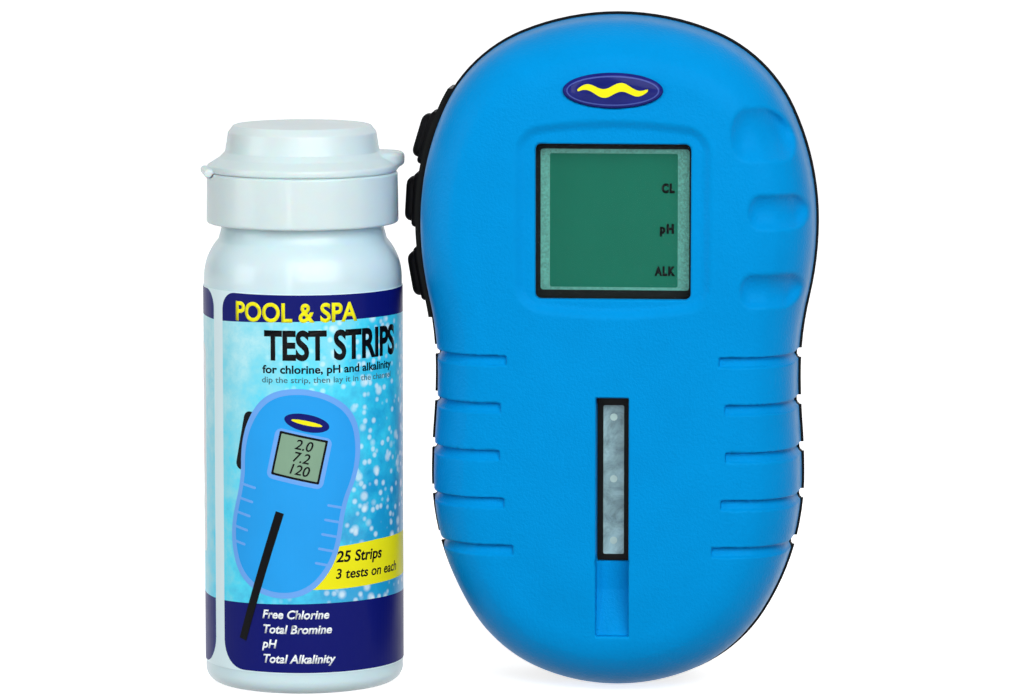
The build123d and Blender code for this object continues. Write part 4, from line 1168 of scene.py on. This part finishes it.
def paint_nodes():
    looks = {
        "shell_seal": RUBBER, "display_frame": TRIM, "display_lens": LENS,
        "display_panel": LCD_GREEN, "sensor_frame": TRIM, "light_baffle": PALE,
        "main_board": moulded("solder_mask", (0.01, 0.12, 0.045), 0.3, grain=0.5, height=0.02,
                              mottle=0.2),
        "board_screws": STEEL, "housing_screws": STEEL, "button_bezel": TRIM,
        "button_upper": RUBBER, "button_middle": RUBBER, "button_lower": RUBBER,
        "battery_cells": cell_print(), "battery_contacts": NICKEL, "battery_door": BLACK,
        "rear_label": moulded("silver_film", (0.50, 0.52, 0.54), 0.35, grain=0.2, height=0.004),
        "desiccant_disc": moulded("desiccant", (0.72, 0.72, 0.70), 0.8, grain=0.3, height=0.05),
    }
    for node, material in looks.items():
        paint(node, material)
    for node, name, colour, roughness in PLAIN_LOOKS:
        paint(node, moulded(name, colour, roughness))
    for node, name, colour in PAD_LOOKS:
        paint(node, moulded(name, colour, 0.9, grain=0.25, height=0.06, mottle=0.15))


# ======== stage
PHOTO_WIDTH, PIXELS_PER_MM = 1035, 5.545
SENSOR = 36  # the camera's sensor width in millimetres
CAMERA_TURN, CAMERA_RISE = math.radians(4.5), math.radians(7)
CAMERA_DISTANCE, CAMERA_TARGET = 0.95, Vector((0.00156, 0, 0.06058))
FLOOR_REACH, FLOOR_HALF, WALL_BEND, WALL_TOP = 4.0, 5.0, 0.5, 3.0
AIM = (0, 0, 0.06)
# Each lamp's place, target, size and power.
LAMPS = {"key": ((0.28, -0.67, 0.40), AIM, (0.70, 0.60), 6.3),
         "fill": ((-0.72, -0.30, 0.22), AIM, (0.4, 0.4), 1.7),
         "top": ((0.0, 0.10, 0.8), AIM, (0.6, 0.4), 0.2),
         "window": ((-0.11, -0.45, 0.22), (-0.037, 0, 0.08), (0.045, 0.40), 0.35)}


def turned_to(obj, place, target):
    """Puts a lamp or camera at a place, looking at a target."""
    obj.location = place
    obj.rotation_euler = (Vector(target) - Vector(place)).to_track_quat("-Z", "Y").to_euler()


def make_floor():
    angles = [math.pi / 2 * i / 12 for i in range(1, 13)]
    run = [(-FLOOR_REACH, 0), (FLOOR_REACH, 0)]
    run += [(FLOOR_REACH + WALL_BEND * math.sin(a), WALL_BEND - WALL_BEND * math.cos(a))
            for a in angles]
    run.append((FLOOR_REACH + WALL_BEND, WALL_TOP))
    points = [(x, y, z) for y, z in run for x in (-FLOOR_HALF, FLOOR_HALF)]
    faces = [(2 * i, 2 * i + 1, 2 * i + 3, 2 * i + 2) for i in range(len(run) - 1)]
    mesh = new_mesh("floor", points, faces)
    mesh.shade_smooth()
    floor = add_object("floor", mesh)
    dress(floor, moulded("floor_paper", (0.9, 0.9, 0.9), 0.85, grain=1.0, height=0.01, mottle=0.01,
                         Emission_Color=(1, 1, 1, 1), Emission_Strength=0.75))
    floor.visible_diffuse = False


def make_stage():
    """The floor, soft light and the camera."""
    make_floor()
    scene = bpy.context.scene
    scene.world = bpy.data.worlds.new("studio")
    sky = Tree(scene.world)
    upright = sky.add("SeparateXYZ", "Z", Vector=sky.add("TexCoord", "Generated"))
    tint = tinted(sky, ranged(sky, upright, 0.0, 1.0), (0.16, 0.17, 0.18), (0.42, 0.43, 0.44))
    sky.feed(sky.nodes["Background"], Color=tint)
    for name, (place, target, size, power) in LAMPS.items():
        data = bpy.data.lights.new(name, "AREA")
        data.shape = "RECTANGLE"
        data.size, data.size_y = size
        data.energy = power
        turned_to(add_object(name, data), place, target)
    scene.view_settings.view_transform = "Standard"

    camera = add_object("camera", bpy.data.cameras.new("camera"))
    away = Vector((math.sin(CAMERA_TURN) * math.cos(CAMERA_RISE),
                   -math.cos(CAMERA_TURN) * math.cos(CAMERA_RISE), math.sin(CAMERA_RISE)))
    turned_to(camera, CAMERA_TARGET + CAMERA_DISTANCE * away, CAMERA_TARGET)
    camera.data.sensor_width = SENSOR
    camera.data.lens = SENSOR * CAMERA_DISTANCE / (PHOTO_WIDTH / PIXELS_PER_MM * MM)
    scene.camera = camera


make_front_shell()
make_rear_shell()
make_display()
make_badge()
make_optics()
make_bottle()
make_closure()
make_label()
paint_nodes()
make_stage()
